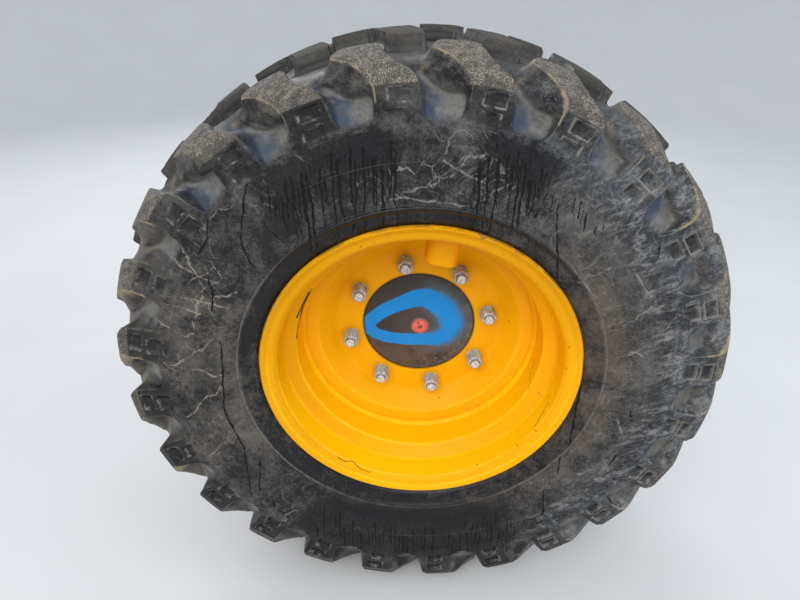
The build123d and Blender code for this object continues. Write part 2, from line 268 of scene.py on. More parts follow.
    def strokes(self, ways, across, up):
        """Distance to thin lines of (x, z) points in mm, by lookup curves.

        Each line is cut where it turns back, laid along its longer way, and
        lines that don't meet share one curve.
        """
        parts = {0: [], 1: []}
        for way in ways:
            pts = [np.array(p, float) for p in way]
            span = np.ptp(np.array(pts), axis=0)
            k = 0 if span[0] > span[1] else 1
            run = [pts[0]]
            turn = 0
            for p, q in zip(pts[:-1], pts[1:]):
                sign = 1 if q[k] > p[k] else -1
                if turn and sign != turn:
                    parts[k].append(run)
                    run = [p]
                turn = sign
                run.append(q)
            parts[k].append(run)
        best = None
        for k, runs in parts.items():
            runs = [r if r[0][k] < r[-1][k] else r[::-1] for r in runs]
            runs.sort(key=lambda r: r[0][k])
            tracks = []
            for r in runs:
                for track in tracks:
                    if track[-1][-1][k] + 9.0 < r[0][k]:
                        track.append(r)
                        break
                else:
                    tracks.append([r])
            along, off = (across, up) if k == 0 else (up, across)
            place = self.add(along, 0.5)
            for track in tracks:
                node = self.new("ShaderNodeFloatCurve")
                curve = node.mapping.curves[0]
                pts = [(0.0, 0.0)]
                for r in track:
                    pts.append((r[0][k] * MM + 0.5 - 0.002, 0.0))
                    pts += [(p[k] * MM + 0.5, p[1 - k] * MM + 0.5) for p in r]
                    pts.append((r[-1][k] * MM + 0.5 + 0.002, 0.0))
                pts.append((1.0, 0.0))
                while len(curve.points) < len(pts):
                    curve.points.new(0.5, 0.5)
                for spot, (u, v) in zip(curve.points, pts):
                    spot.location = (u, v)
                    spot.handle_type = "VECTOR"
                node.mapping.update()
                self.put(node.inputs["Value"], place)
                gap = self.math("ABSOLUTE", self.sub(self.sub(node.outputs[0], 0.5), off))
                best = gap if best is None else self.least(best, gap)
        return best

    def polar(self):
        """Radius and angle about the axle, and the distance from mid-plane."""
        x, y, z = self.xyz()
        radius = self.math("SQRT", self.add(self.mul(x, x), self.mul(z, z)))
        return radius, self.math("ARCTAN2", z, x), self.sub(y, WHEEL_Y * MM)

    def bump(self, height, strength=1.0, distance=0.001, normal=None):
        node = self.new("ShaderNodeBump")
        node.inputs["Strength"].default_value = strength
        node.inputs["Distance"].default_value = distance
        self.put(node.inputs["Height"], height)
        if normal is not None:
            self.link(normal, node.inputs["Normal"])
        return node.outputs[0]

    def done(self, color, rough, normal=None, metallic=None, **fixed):
        self.put(self.bsdf.inputs["Base Color"], color)
        self.put(self.bsdf.inputs["Roughness"], rough)
        if metallic is not None:
            self.put(self.bsdf.inputs["Metallic"], metallic)
        if normal is not None:
            self.link(normal, self.bsdf.inputs["Normal"])
        for key, value in fixed.items():
            self.bsdf.inputs[key.replace("_", " ")].default_value = value
        return self.mat


# ============================================================== mesh writing


def build_mesh(name, verts, faces, attrs=None, smooth=True, sharp=None):
    mesh = bpy.data.meshes.new(name)
    mesh.from_pydata([tuple(v) for v in np.asarray(verts, float)], [],
                     [tuple(int(i) for i in f) for f in faces])
    mesh.update()
    if attrs:
        for key, values in attrs.items():
            values = np.asarray(values, np.float32)
            vector = values.ndim == 2
            layer = mesh.attributes.new(key, "FLOAT_VECTOR" if vector else "FLOAT", "POINT")
            layer.data.foreach_set("vector" if vector else "value", values.ravel())
    if smooth:
        mesh.polygons.foreach_set("use_smooth", [True] * len(mesh.polygons))
        if sharp is not None:
            mesh.set_sharp_from_angle(angle=math.radians(sharp))
    mesh.update()
    obj = bpy.data.objects.new(name, mesh)
    bpy.context.collection.objects.link(obj)
    return obj


def wear(obj, mat, body, nodes=()):
    obj.data.materials.clear()
    obj.data.materials.append(mat)
    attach(obj, body)
    if nodes:
        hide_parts(*nodes)
    return obj


def grid_faces(rows, cols, wrap=True, flip=False, start=0):
    i = np.arange(rows - 1)[:, None]
    j = np.arange(cols if wrap else cols - 1)[None, :]
    a = start + i * cols + j
    b = start + i * cols + (j + 1) % cols
    c = start + (i + 1) * cols + (j + 1) % cols
    d = start + (i + 1) * cols + j
    quads = np.stack([a, b, c, d], -1).reshape(-1, 4)
    return quads[:, ::-1] if flip else quads


def rounded(points, radius, steps=5):
    """A polyline of (y, r) with its inner corners rounded to arcs."""
    pts = [np.array(p[:2], float) for p in points]
    rads = [p[2] if len(p) > 2 else radius for p in points]
    out = [pts[0]]
    for k in range(1, len(pts) - 1):
        p, q, s = pts[k - 1], pts[k], pts[k + 1]
        u, v = (p - q), (s - q)
        lu, lv = np.linalg.norm(u), np.linalg.norm(v)
        u, v = u / lu, v / lv
        turn = math.acos(max(-1, min(1, float(u @ v))))
        if rads[k] <= 0 or turn > math.radians(178):
            out.append(q)
            continue
        cut = min(rads[k] / math.tan(turn / 2), 0.48 * lu, 0.48 * lv)
        a, b = q + u * cut, q + v * cut
        for t in np.linspace(0, 1, steps):
            out.append((1 - t) ** 2 * a + 2 * t * (1 - t) * q + t ** 2 * b)
    out.append(pts[-1])
    return np.array(out)


def lathe(profile, segments, closed=False, y0=WHEEL_Y, phase=0.0):
    """(verts in m, quads) of (y, r) in mm turned about the axle."""
    prof = np.asarray(profile, float)
    th = np.arange(segments) / segments * PI2 + phase
    y = np.repeat(prof[:, 0:1], segments, 1) + y0
    r = prof[:, 1:2]
    verts = np.stack([r * np.cos(th), y, r * np.sin(th)], -1).reshape(-1, 3) * MM
    faces = grid_faces(len(prof), segments)
    if closed:
        n, s = len(prof), segments
        j = np.arange(s)
        last = np.stack([(n - 1) * s + j, (n - 1) * s + (j + 1) % s,
                         (j + 1) % s, j], -1)
        faces = np.concatenate([faces, last])
    return verts, faces


# ===================================================================== tyre

LUGS = 24
PITCH = 360.0 / LUGS
PHASE = 4.5               # degrees, the centre of the first lug's side face
SIDE_Y = -206.5           # the lugs' side faces, from the wheel's mid-plane

# name, top (y, r), floor (y, r), lug edges a and b in degrees from its centre;
# behind each shoulder lug a groove, then a block of the tread's middle
ROWS = (
    ("foot",   (-203.6, 403.0), (-203.6, 403.0), -3.80, 4.85),
    ("plate0", (-204.0, 406.6), (-203.8, 406.6), -3.85, 4.85),
    ("plate1", (-206.2, 408.6), (-203.95, 408.6), -3.90, 4.80),
    ("plate2", (SIDE_Y, 417.0), (-204.9, 417.0), -3.95, 4.60),
    ("side0",  (SIDE_Y, 424.5), (-206.0, 424.2), -3.95, 4.40),
    ("side1",  (SIDE_Y, 428.0), (-205.4, 427.0), -3.90, 4.25),
    ("side2",  (SIDE_Y, 434.0), (-202.0, 431.0), -3.85, 4.15),
    ("side3",  (SIDE_Y, 441.0), (-198.2, 436.0), -3.75, 4.05),
    ("side4",  (SIDE_Y, 450.0), (-193.2, 442.8), -3.62, 3.95),
    ("side5",  (SIDE_Y, 460.0), (-187.4, 450.5), -3.50, 3.85),
    ("side6",  (SIDE_Y, 470.0), (-182.4, 457.5), -3.38, 3.80),
    ("side7",  (SIDE_Y, 478.6), (-178.8, 463.0), -3.22, 3.80),
    ("rib0",   (-206.95, 480.2), (-178.0, 464.6), -3.18, 3.85),
    ("rib1",   (-206.95, 483.0), (-176.9, 466.8), -3.08, 3.95),
    ("rib2",   (-205.2, 484.8), (-175.9, 469.0), -2.98, 4.05),
    ("band",   (-204.3, 490.3), (-174.1, 473.0), -2.60, 4.30),
    ("crest0", (-203.6, 493.5), (-172.4, 476.8), -2.15, 4.50),
    ("crest1", (-201.9, 495.2), (-170.8, 480.6), -1.90, 4.70),
    ("top0",   (-196.5, 499.2), (-169.0, 484.6), -1.00, 5.30),
    ("top1",   (-186.0, 505.6), (-166.6, 488.2), 0.25, 6.30),
    ("top2",   (-176.0, 510.4), (-161.8, 492.8), 1.10, 7.30),
    ("top3",   (-166.0, 514.2), (-156.3, 496.6), 1.65, 8.70),
    ("top4",   (-160.0, 516.2), (-151.3, 499.1), 1.85, 9.65),
    ("top5",   (-150.0, 518.6), (-144.5, 501.7), 2.05, 9.75),
    ("top6",   (-142.0, 520.4), (-137.5, 503.7), 2.25, 9.50),
    ("top7",   (-134.0, 522.2), (-131.0, 505.2), 2.60, 8.90),
    ("top8",   (-128.0, 523.2), (-126.2, 506.0), 3.10, 8.20),
    ("back0",  (-125.6, 523.2), (-123.8, 506.3), 3.40, 7.90),
    ("back1",  (-122.6, 514.5), (-121.2, 506.5), 3.30, 8.00),
    ("back2",  (-119.6, 508.4), (-118.8, 506.6), 3.20, 8.10),
    ("lip",    (-116.6, 506.6), (-116.6, 506.6), 3.00, 8.00),
    ("dip0",   (-110.0, 503.6), (-110.0, 503.6), -0.20, 4.90),
    ("dip1",   (-101.0, 503.2), (-101.0, 503.2), -3.60, 2.00),
    ("front2", (-97.6, 505.2), (-97.2, 504.0), -4.30, 1.60),
    ("front1", (-95.6, 514.5), (-95.0, 505.0), -4.35, 1.60),
    ("front0", (-93.2, 526.9), (-91.5, 506.4), -4.30, 1.55),
    ("mid0",   (-91.0, 528.8), (-88.5, 507.0), -4.25, 1.50),
    ("mid1",   (-66.0, 531.8), (-65.5, 509.5), -4.20, 1.60),
    ("mid2",   (-42.0, 533.5), (-41.5, 511.0), -3.40, 2.60),
    ("tip0",   (-20.0, 534.5), (-20.0, 511.6), -2.60, 3.60),
    ("tip1",   (-14.5, 534.7), (-15.3, 511.7), -2.45, 3.65),
    ("tip2",   (-12.4, 533.6), (-13.2, 511.8), -2.40, 3.65),
    ("tip3",   (-10.6, 524.0), (-10.8, 511.8), -2.35, 3.60),
    ("tip4",   (-8.2, 514.2), (-8.2, 511.8), -2.30, 3.55),
    ("tip5",   (-5.0, 511.9), (-5.0, 511.8), -2.20, 3.50),
    ("mid",    (0.0, 511.8), (0.0, 511.8), -2.00, 3.40),
)
STEPS_AFTER = {"plate1": 1, "plate2": 1, "side1": 1, "side2": 1, "side3": 2,
               "side4": 2, "side5": 2, "side6": 1, "band": 0, "crest1": 1,
               "top0": 2, "top1": 1, "top2": 1, "top3": 1, "top4": 1,
               "top5": 1, "lip": 1, "dip0": 1, "mid0": 2, "mid1": 1, "mid2": 1}
# the foot of a lug's wall at edge b: floor radius, degrees from the centre
FOOT_B = ((450.5, 4.10), (457.5, 4.20), (461.0, 4.50), (463.0, 5.00), (464.6, 6.30),
          (466.8, 7.50), (469.0, 8.20), (473.0, 9.10), (476.8, 9.60), (480.6, 10.05),
          (484.6, 10.45), (488.2, 10.75), (492.8, 10.95), (499.1, 11.00),
          (501.7, 10.90), (503.7, 10.30), (505.2, 9.60))
# windows pressed into each lug's side face: radii and degrees, depth in mm
WINDOWS = ((427.6, 449.0, -1.65, 1.92, 4.6), (458.4, 475.2, -2.05, 1.45, 4.6))


def tyre_rows():
    """Finer rows of the table, with extra ones at the windows' edges."""
    rows = []
    for k, (name, top, floor, a, b) in enumerate(ROWS):
        here = np.array([*top, *floor, a, b], float)
        rows.append(here)
        if k + 1 < len(ROWS):
            nxt = np.array([*ROWS[k + 1][1], *ROWS[k + 1][2], *ROWS[k + 1][3:]],
                           float)
            n = STEPS_AFTER.get(name, 0)
            for s in range(1, n + 1):
                rows.append(here + (nxt - here) * s / (n + 1))
    rows = np.array(rows)
    side = (rows[:, 1] > 424) & (rows[:, 1] < 479) & (rows[:, 0] <= SIDE_Y + 0.01)
    lo, hi = np.where(side)[0][0], np.where(side)[0][-1]
    extra = []
    for r0, r1, *_ in WINDOWS:
        for r in (r0 - 0.45, r0 + 0.75, r1 - 0.45, r1 + 0.45):
            j = lo + np.searchsorted(rows[lo:hi + 1, 1], r) - 1
            t = (r - rows[j, 1]) / (rows[j + 1, 1] - rows[j, 1])
            extra.append(rows[j] + (rows[j + 1] - rows[j]) * t)
    fixed = np.array(extra)
    keep = [row for row in rows[lo:hi + 1]
            if np.abs(fixed[:, 1] - row[1]).min() > 1.6 or row is rows[hi]]
    side_rows = np.array(keep + extra)
    side_rows = side_rows[np.argsort(side_rows[:, 1])]
    return np.concatenate([rows[:lo], side_rows, rows[hi + 1:]])


def smooth01(t):
    t = np.clip(t, 0, 1)
    return t * t * (3 - 2 * t)


def tread_half(seed, inboard):
    """One half of the tread, as (rows, cols, 3) points with attributes."""
    rng = np.random.default_rng(seed)
    rows = tyre_rows()
    n = len(rows)
    yt, rt, yf, rf, ea, eb = rows.T
    depth = np.hypot(yt - yf, rt - rf)
    deg = 180 / math.pi / rt                      # degrees in one mm
    run = np.concatenate([[0], np.cumsum(np.hypot(np.diff(yt), np.diff(rt)))])
    # voids close in a round bottom between radii 428 and 448
    flare = np.zeros(n)
    inside = (rt > 427.9) & (rt < 448) & (yt < -200)
    flare[inside] = 20 - np.sqrt(np.maximum(0, 400 - (448 - rt[inside]) ** 2))
    soft = (rt > 416.0) & (rt <= 427.9)
    flare[soft] = 17.0 * ((rt[soft] - 416.0) / 12.0) ** 2.2
    ea = ea - flare * deg
    eb = eb + flare * deg
    on_side = yt < -202.8
    fat = np.clip(depth / 14.0, 0.12, 1.0)        # size of the wall's foot
    lean_a = np.interp(rt, [403, 430, 450, 484, 500, 512], [1.2, 2.5, 6.5, 8.5, 6.0, 5.0])
    lean_b = np.interp(rt, [403, 430, 450, 484, 500, 512], [1.2, 2.0, 2.5, 2.0, 2.5, 4.5])
    lean_a = np.where(depth < 8, np.minimum(lean_a, 1.2), lean_a)
    lean_b = np.where(depth < 8, np.minimum(lean_b, 1.2), lean_b)

    # the windows' edges, followed up the side face
    wl = np.interp(rt, [449, 458], [WINDOWS[0][2], WINDOWS[1][2]])
    wr = np.interp(rt, [449, 458], [WINDOWS[0][3], WINDOWS[1][3]])
    third_l, third_r = ea + (eb - ea) * 0.33, ea + (eb - ea) * 0.67
    t = smooth01((run - run[np.argmax(yt > -203)] + 8) / 20) * (yt > -206)
    wl = wl * (1 - t) + third_l * t
    wr = wr * (1 - t) + third_r * t
    win = 0.5 * deg
    hwin = np.zeros(n)
    for r0, r1, _, _, d in WINDOWS:
        inside = (rt > r0) & (rt < r1) & on_side
        # deepest below the outer edge, with a sloping lower end
        hwin[inside] = d * np.clip(0.55 + 0.45 * (rt[inside] - r0) / 6.0, 0.55, 1.0)

    one = np.ones(n)
    layout = []           # theta (n), height, edge, window, mud, frame, void
    ends = np.array([q for w in WINDOWS for q in w[:2]])
    beside = np.zeros(n)
    for r0, r1, *_ in WINDOWS:
        beside[(rt > r0 - 0.6) & (rt < r1 + 0.6) & on_side] = 1.0
    close = (np.abs(rt[:, None] - ends).min(1) < 0.62) * beside

    def col(theta, h, edge=0.0, window=False, mud=0.0, frame=0.0, void=0.0):
        layout.append((theta, h * one, edge * one,
                       hwin if window else 0 * one, mud * one, frame * one,
                       void * one))

    # edge b's wall is a wide panel, dished, above radius 463 of the floor
    foot_b = eb + lean_b * deg
    panel = smooth01((rf - 457) / 6) * smooth01((-124 - yt) / 8)
    foot_b += panel * (np.interp(rf, *np.array(FOOT_B).T) - foot_b)
    # the feet's fillets, as wide as the void leaves room for
    room = (ea - lean_a * deg + PITCH - foot_b) / deg
    fat = np.minimum(fat, np.maximum(0.10, (room - 4) / 34))

    def wall_a(h, extra):
        return ea - (lean_a * (1 - h) + extra * fat) * deg

    def wall_b(h, extra):
        t = min(1.0, (1 - h) / 0.85)
        dish = t - 0.10 * math.sin(math.pi * t) * panel
        return eb + (foot_b - eb) * dish + extra * fat * (1 - 0.45 * panel) * deg

    crest = 1.3 * deg
    lip = 4.5 * deg
    col(ea, 0.965, 1.0)
    col(ea + crest, 1.0, 0.8)
    col(ea + lip, 1.0, 0.25)
    col(0.5 * (ea + lip + wl - win), 1.0)
    col(wl - win, 1.0, frame=beside)
    col(wl + win, 1.0, window=True, frame=np.maximum(0.5 * beside, close))
    col(0.5 * (wl + wr), 1.0, window=True, frame=close)
    col(wr - win, 1.0, window=True, frame=np.maximum(0.5 * beside, close))
    col(wr + win, 1.0, frame=beside)
    col(0.5 * (eb - lip + wr + win), 1.0)
    col(eb - lip, 1.0, 0.25, mud=0.35)
    col(eb - crest, 1.0, 0.8, mud=0.9)
    col(eb, 0.965, 1.0, mud=1.0)
    wall_h = (0.86, 0.62, 0.38, 0.20, 0.15, 0.075, 0.025, 0.0)
    wall_x = (0.0, 0.0, 0.0, 0.3, 2.6, 7.0, 11.5, 16.0)
    for k, (h, ex) in enumerate(zip(wall_h, wall_x)):
        col(wall_b(h, ex), h, mud=(0.5, 0.15, 0.0, 0.25, 0.3, 0.1, 0, 0)[k],
            void=0.05 * k)
    end_b, end_a = wall_b(0.0, 16.0), wall_a(0.0, 16.0) + PITCH
    # the void's own floor is a shallow trough
    for s in (0.25, 0.5, 0.75):
        col(end_b + (end_a - end_b) * s, -0.05 * (1 - (2 * s - 1) ** 2) * fat,
            void=0.4 + 0.2 * s)
    for k, (h, ex) in enumerate(zip(wall_h[::-1], wall_x[::-1])):
        col(wall_a(h, ex) + PITCH, h, void=0.65 + 0.05 * k)

    theta = np.stack([c[0] for c in layout], 1)          # (n, m)
    h = np.stack([c[1] for c in layout], 1)
    edge = np.stack([c[2] for c in layout], 1)
    wind = np.stack([c[3] for c in layout], 1)
    mudb = np.stack([c[4] for c in layout], 1)
    frame = np.stack([c[5] for c in layout], 1)
    void = np.stack([c[6] for c in layout], 1)
    # columns never cross, whatever the row
    for k in range(1, theta.shape[1]):
        theta[:, k] = np.maximum(theta[:, k], theta[:, k - 1] + 0.012)
    m = theta.shape[1]
    top = (h > 0.9) * smooth01((depth - 13.5) / 2.5)[:, None] * (yt > -207.0)[:, None]
    bevel = ((rt > 479.5) & (yt < -203.7))[:, None] * top
    top = top * (yt > -203.7)[:, None]
    # a lug's back edge lies askew: its end at edge b reaches further in
    askew = 6.0 * smooth01((yt + 146) / 14) * smooth01((-110 - yt) / 7)
    across = np.interp(np.arange(m), [0, 12, m - 1], [-1.0, 1.0, -1.0])
    slant = askew[:, None] * across
    elbow = smooth01((rt - 452) / 12) * smooth01((-128 - yt) / 20)
    mudb = mudb * elbow[:, None]

    # each lug is a little different: worn crests, small nicks, waviness
    parts = {key: [] for key in ("theta", "h", "edge", "wind", "mud", "top", "id",
                                 "frame", "void")}
    for k in range(LUGS):
        worn = rng.uniform(0.0, 1.0)
        settle = smooth01((rt[:, None] - 420) / 30)
        shift = rng.normal(0, 0.05) * settle
        tips = (yt[:, None] > -204) & (rt[:, None] > 440)
        hk = h.copy()
        nick = rng.uniform(0, 1, (n, m))
        nick = (nick > 0.90) * rng.uniform(0.01, 0.07, (n, m)) * (edge > 0.5) * tips
        hk -= nick * (0.3 + worn)
        # the whole top wears a little lower on some lugs
        hk -= 0.02 * worn * top
        wig = rng.normal(0, 0.035, (n, 1)) * (edge > 0.5) * tips
        parts["theta"].append(theta + PHASE + k * PITCH + (7.5 if inboard else 0.0)
                              + shift + wig)
        parts["h"].append(hk)
        parts["edge"].append(edge)
        parts["wind"].append(wind)
        parts["mud"].append(mudb * rng.choice([0.45, 0.75, 1.0, 1.0]))
        parts["frame"].append(frame)
        parts["void"].append(void)
        parts["top"].append(np.maximum(top, bevel * rng.choice([0.0, 0.6, 1.0, 1.0])))
        parts["id"].append(np.full((n, m), rng.uniform(0, 1)))
    parts = {key: np.concatenate(val, 1) for key, val in parts.items()}
    theta, h, wind = parts["theta"], parts["h"], parts["wind"]

    y = yf[:, None] + (yt - yf)[:, None] * h + wind + np.tile(slant, (1, LUGS))
    r = rf[:, None] + (rt - rf)[:, None] * h
    th = np.radians(theta)
    rough = rng.normal(0, 0.22, h.shape) * parts["top"] * (yt > -203.7)[:, None]
    # the flared tips sink into the sidewall
    sink = np.interp(np.arange(m), [0, 2, 10, 12, 13], [1.0, 0.0, 0.0, 1.0, 0.0])
    y += np.tile(0.65 * (np.clip(flare / 16, 0, 1) * (rt < 440))[:, None] * sink, (1, LUGS))
    wave = 0.6 * np.sin(th * 71 + 0.05 * run[:, None]) * (h < 0.05) * (depth[:, None] > 8)
    r = np.minimum(r + rough + wave, np.where(h > 0.9, rt[:, None], 1e9))
    if inboard:
        y = -y
    pts = np.stack([r * np.cos(th), y + WHEEL_Y, r * np.sin(th)], -1) * MM
    return pts, {"lug": h, "edge": parts["edge"], "window": (wind > 0) * 1.0,
                 "mud": parts["mud"], "top": parts["top"], "lugid": parts["id"],
                 "frame": parts["frame"], "void": parts["void"]}


# outside of the tyre below the tread, bead to shoulder, as (y, r[, rounding])
SIDEWALL = (
    (-163.5, 257.2, 0), (-165.0, 258.6, 2), (-165.2, 266, 3), (-169.0, 274.5, 3),
    (-172.6, 279.0, 3), (-177.0, 283.5, 4), (-181.6, 291.0, 6), (-184.4, 300.0, 3),
    (-187.4, 303.6, 1.0), (-188.9, 305.2, 0.8), (-188.9, 307.4, 0.8),
    (-187.6, 309.2, 0.8), (-188.9, 310.8, 0.7), (-188.9, 312.2, 0.7),
    (-188.2, 313.6, 0.8), (-190.0, 320.0, 6), (-193.8, 333.0, 20), (-197.8, 350.0, 20),
    (-200.0, 366.0, 12), (-200.8, 375.6, 0.6), (-201.7, 376.4, 0.4),
    (-201.7, 377.6, 0.4), (-200.9, 378.6, 0.6), (-202.4, 391.0, 6),
    (-203.6, 403.0, 0),
)
LINER = (
    (0.0, 492.0), (-90.0, 488.0), (-148.0, 477.0), (-172.0, 458.0),
    (-185.0, 428.0), (-187.5, 392.0), (-183.0, 352.0), (-172.0, 318.0),
    (-156.0, 292.0), (-141.0, 272.0), (-138.0, 255.6),
)


def make_tyre(name, seed, inboard):
    pts, attrs = tread_half(seed, inboard)
    rows, cols = pts.shape[:2]
    flip = -1.0 if inboard else 1.0
    th = np.arctan2(pts[0, :, 2], pts[0, :, 0])

    def ring(y, r, step):
        a = th[::step]
        return np.stack([r * np.cos(a), np.full_like(a, flip * y + WHEEL_Y),
                         r * np.sin(a)], -1) * MM

    low = np.array([ring(y, r, 2) for y, r in rounded(SIDEWALL, 3.0, 4)[:-1]])
    back = np.array([ring(y, r, 4) for y, r in LINER])
    lcols, bcols = cols // 2, cols // 4
    verts = np.concatenate([low.reshape(-1, 3), pts.reshape(-1, 3), back.reshape(-1, 3)])
    t0 = len(low) * lcols
    b0 = t0 + rows * cols
    faces = [tuple(q) for q in grid_faces(len(low), lcols)]
    last = (len(low) - 1) * lcols
    for j in range(lcols):                # sidewall columns fan out to the tread's
        k = (j + 1) % lcols
        faces.append((last + j, last + k, t0 + (2 * j + 2) % cols,
                      t0 + 2 * j + 1, t0 + 2 * j))
    faces += [tuple(q) for q in grid_faces(rows, cols, start=t0)]
    faces += [tuple(q) for q in grid_faces(len(back), bcols, start=b0)]
    crown = t0 + (rows - 1) * cols
    toe = b0 + (len(back) - 1) * bcols
    for j in range(bcols):                # crown's cut, and the bead's toe
        k = (j + 1) % bcols
        faces.append(tuple(crown + (j * 4 + s) % cols for s in range(5))
                     + (b0 + k, b0 + j))
        faces.append(tuple((j * 2 + s) % lcols for s in (2, 1, 0)) + (toe + j, toe + k))
    out = {}
    for key, val in attrs.items():
        out[key] = np.concatenate([np.zeros(t0), val.reshape(-1),
                                   np.zeros(bcols * len(back))])
    # where each point lies, for the finish: as numbers, round the axle, and
    # pushed about by slow waves
    rad = np.hypot(verts[:, 0], verts[:, 2])
    out.update(px=verts[:, 0], py=verts[:, 1], pz=verts[:, 2], pr=rad)
    out["wiped"] = np.stack([3.2 * verts[:, 0] / rad, 3.2 * verts[:, 2] / rad, 95 * rad], 1)
    rng = np.random.default_rng(seed + 100)
    warp = verts.copy()
    for size, wave in ((0.011, 65), (0.006, 120), (0.003, 230)):
        for k in range(3):
            way = rng.normal(size=3)
            phase = verts @ (wave * way / np.linalg.norm(way)) + rng.uniform(0, 6.28)
            warp += np.sin(phase)[:, None] * rng.normal(size=3) * size * 0.6
    out["warp"] = warp[:, [0, 2, 1]]
    obj = build_mesh(name, verts, faces, out, sharp=None)
    # the tread's faces, above radius 430 mm, take the second material
    radius = np.hypot(pts[..., 0], pts[..., 2]).min(1)
    first = int(np.argmax(radius > 0.4295))
    index = np.zeros(len(faces), np.int32)
    index[len(low) * lcols + first * cols:len(low) * lcols + (rows - 1) * cols] = 1
    print(name, "faces", len(faces), "volume", face_out(obj))
    return obj, index


def face_out(obj):
    """Turns all faces outward, and gives the closed mesh's volume."""
    mesh = obj.data
    verts = np.empty(len(mesh.vertices) * 3, np.float64)
    mesh.vertices.foreach_get("co", verts)
    verts = verts.reshape(-1, 3)
    mesh.calc_loop_triangles()
    tri = np.empty(len(mesh.loop_triangles) * 3, np.int64)
    mesh.loop_triangles.foreach_get("vertices", tri)
    t = verts[tri.reshape(-1, 3)]
    vol = np.einsum("ij,ij->i", t[:, 0], np.cross(t[:, 1], t[:, 2])).sum() / 6
    if vol < 0:
        mesh.flip_normals()
    return abs(vol)


# ================================================================= hardware

STUD_PHASE = 101.36
STUD_R = 137.5
STUD_ANGLES = [STUD_PHASE + 45.0 * k for k in range(8)]


def turned(rows, count, radius=None, closed=True):
    """A turned solid about its own axis: rows of (y, r[, flag]) in mm, and
    radius(theta, y, r, flag) for what isn't round."""
    th = np.arange(count) / count * PI2
    verts = []
    for row in rows:
        y, r = row[0], row[1]
        rr = np.full(count, float(r))
        if radius is not None:
            rr = radius(th, y, r, row[2] if len(row) > 2 else None)
        verts.append(np.stack([rr * np.cos(th), np.full(count, float(y)),
                               rr * np.sin(th)], -1))
    verts = np.concatenate(verts)
    faces = [tuple(q) for q in grid_faces(len(rows), count)]
    if closed:                            # a ring: last row joins the first
        n = (len(rows) - 1) * count
        for j in range(count):
            k = (j + 1) % count
            faces.append((n + j, n + k, k, j))
    else:                                 # a bar: capped at both ends
        faces.append(tuple(range(count))[::-1])
        n = (len(rows) - 1) * count
        faces.append(tuple(n + j for j in range(count)))
    return verts, faces


def spread(name, solid, places, sharp=35):
    """Copies of a solid at (x, y, z, spin degrees) in mm, as one object."""
    verts, faces = solid
    allv, allf = [], []
    for x, y, z, spin in places:
        c, s = math.cos(math.radians(spin)), math.sin(math.radians(spin))
        v = verts @ np.array([[c, 0, s], [0, 1, 0], [-s, 0, c]])
        base = sum(len(a) for a in allv)
        allv.append(v + (x, y, z))
        allf += [tuple(i + base for i in f) for f in faces]
    obj = build_mesh(name, np.concatenate(allv) * MM, allf, sharp=sharp)
    face_out(obj)
    return obj


def ring_places(radius, angles, y, spins):
    return [(radius * math.cos(math.radians(a)), y, radius * math.sin(math.radians(a)), s)
            for a, s in zip(angles, spins)]


def hexed(flat):
    def radius(th, y, r, flag):
        if flag != "hex":
            return np.full(len(th), float(r))
        side = (th + math.pi / 6) % (math.pi / 3) - math.pi / 6
        return np.minimum(r, flat / np.cos(side))
    return radius


NUT_ROWS = (
    (0.0, 9.35), (0.0, 14.6), (-0.5, 15.1, "hex"), (-1.0, 15.6, "hex"),
    (-12.0, 15.6, "hex"), (-22.6, 15.6, "hex"), (-23.2, 15.45, "hex"),
    (-24.2, 15.0, "hex"), (-25.3, 14.45, "hex"), (-26.4, 13.9, "hex"),
    (-27.2, 13.35, "hex"), (-28.2, 12.8), (-28.8, 12.3), (-29.0, 11.8), (-29.0, 10.3),
    (-28.1, 9.3), (-10.0, 9.3),
)
nuts = spread("wheel_nuts_detail", turned(NUT_ROWS, 96, hexed(13.5)),
              ring_places(STUD_R, STUD_ANGLES, WHEEL_Y,
                          (12, 47, 3, 28, 55, 18, 39, 8)), 30)

THREAD = 1.5              # mm, the studs' pitch


def threaded(th, y, r, flag):
    if flag != "thread":
        return np.full(len(th), float(r))
    turn = (y / THREAD + th / PI2) % 1.0
    return r - 0.85 * np.abs(2 * turn - 1.0)


STUD_ROWS = [(-35.0, 2.2), (-34.6, 2.6), (-35.0, 3.4), (-35.0, 6.6), (-34.7, 7.5), (-34.0, 8.1)]
STUD_ROWS += [(y, 8.95, "thread") for y in np.arange(-33.6, -26.0, THREAD / 6)]
STUD_ROWS += [(-25.8, 8.95), (32.0, 8.95), (32.0, 14.6), (32.8, 15.5), (40.6, 15.5),
              (42.0, 14.2), (42.0, 3.0)]
studs = spread("wheel_studs_detail", turned(STUD_ROWS, 36, threaded, closed=False),
               ring_places(STUD_R, STUD_ANGLES, WHEEL_Y,
                           (0, 100, 210, 330, 70, 160, 290, 20)), 40)

SPLINES = 24


def splined(th, y, r, flag):
    if flag != "spline":
        return np.full(len(th), float(r))
    tooth = np.abs(((th * SPLINES / PI2) % 1.0) - 0.5) * 2.0
    return r - 1.9 * np.clip((tooth - 0.42) / 0.2, 0, 1)


SHAFT_ROWS = ((-282.0, 2.5), (-282.0, 17.0), (-280.0, 19.0), (4.0, 19.0),
              (5.0, 18.2), (6.0, 17.5), (9.0, 17.5), (12.0, 17.5, "spline"),
              (55.6, 17.5, "spline"), (56.6, 16.6, "spline"), (58.0, 15.4),
              (58.0, 5.2), (55.0, 2.2))
shaft = spread("half_shaft_detail", turned(SHAFT_ROWS, 192, splined, closed=False),
               [(0, 0, 0, 0)], 30)

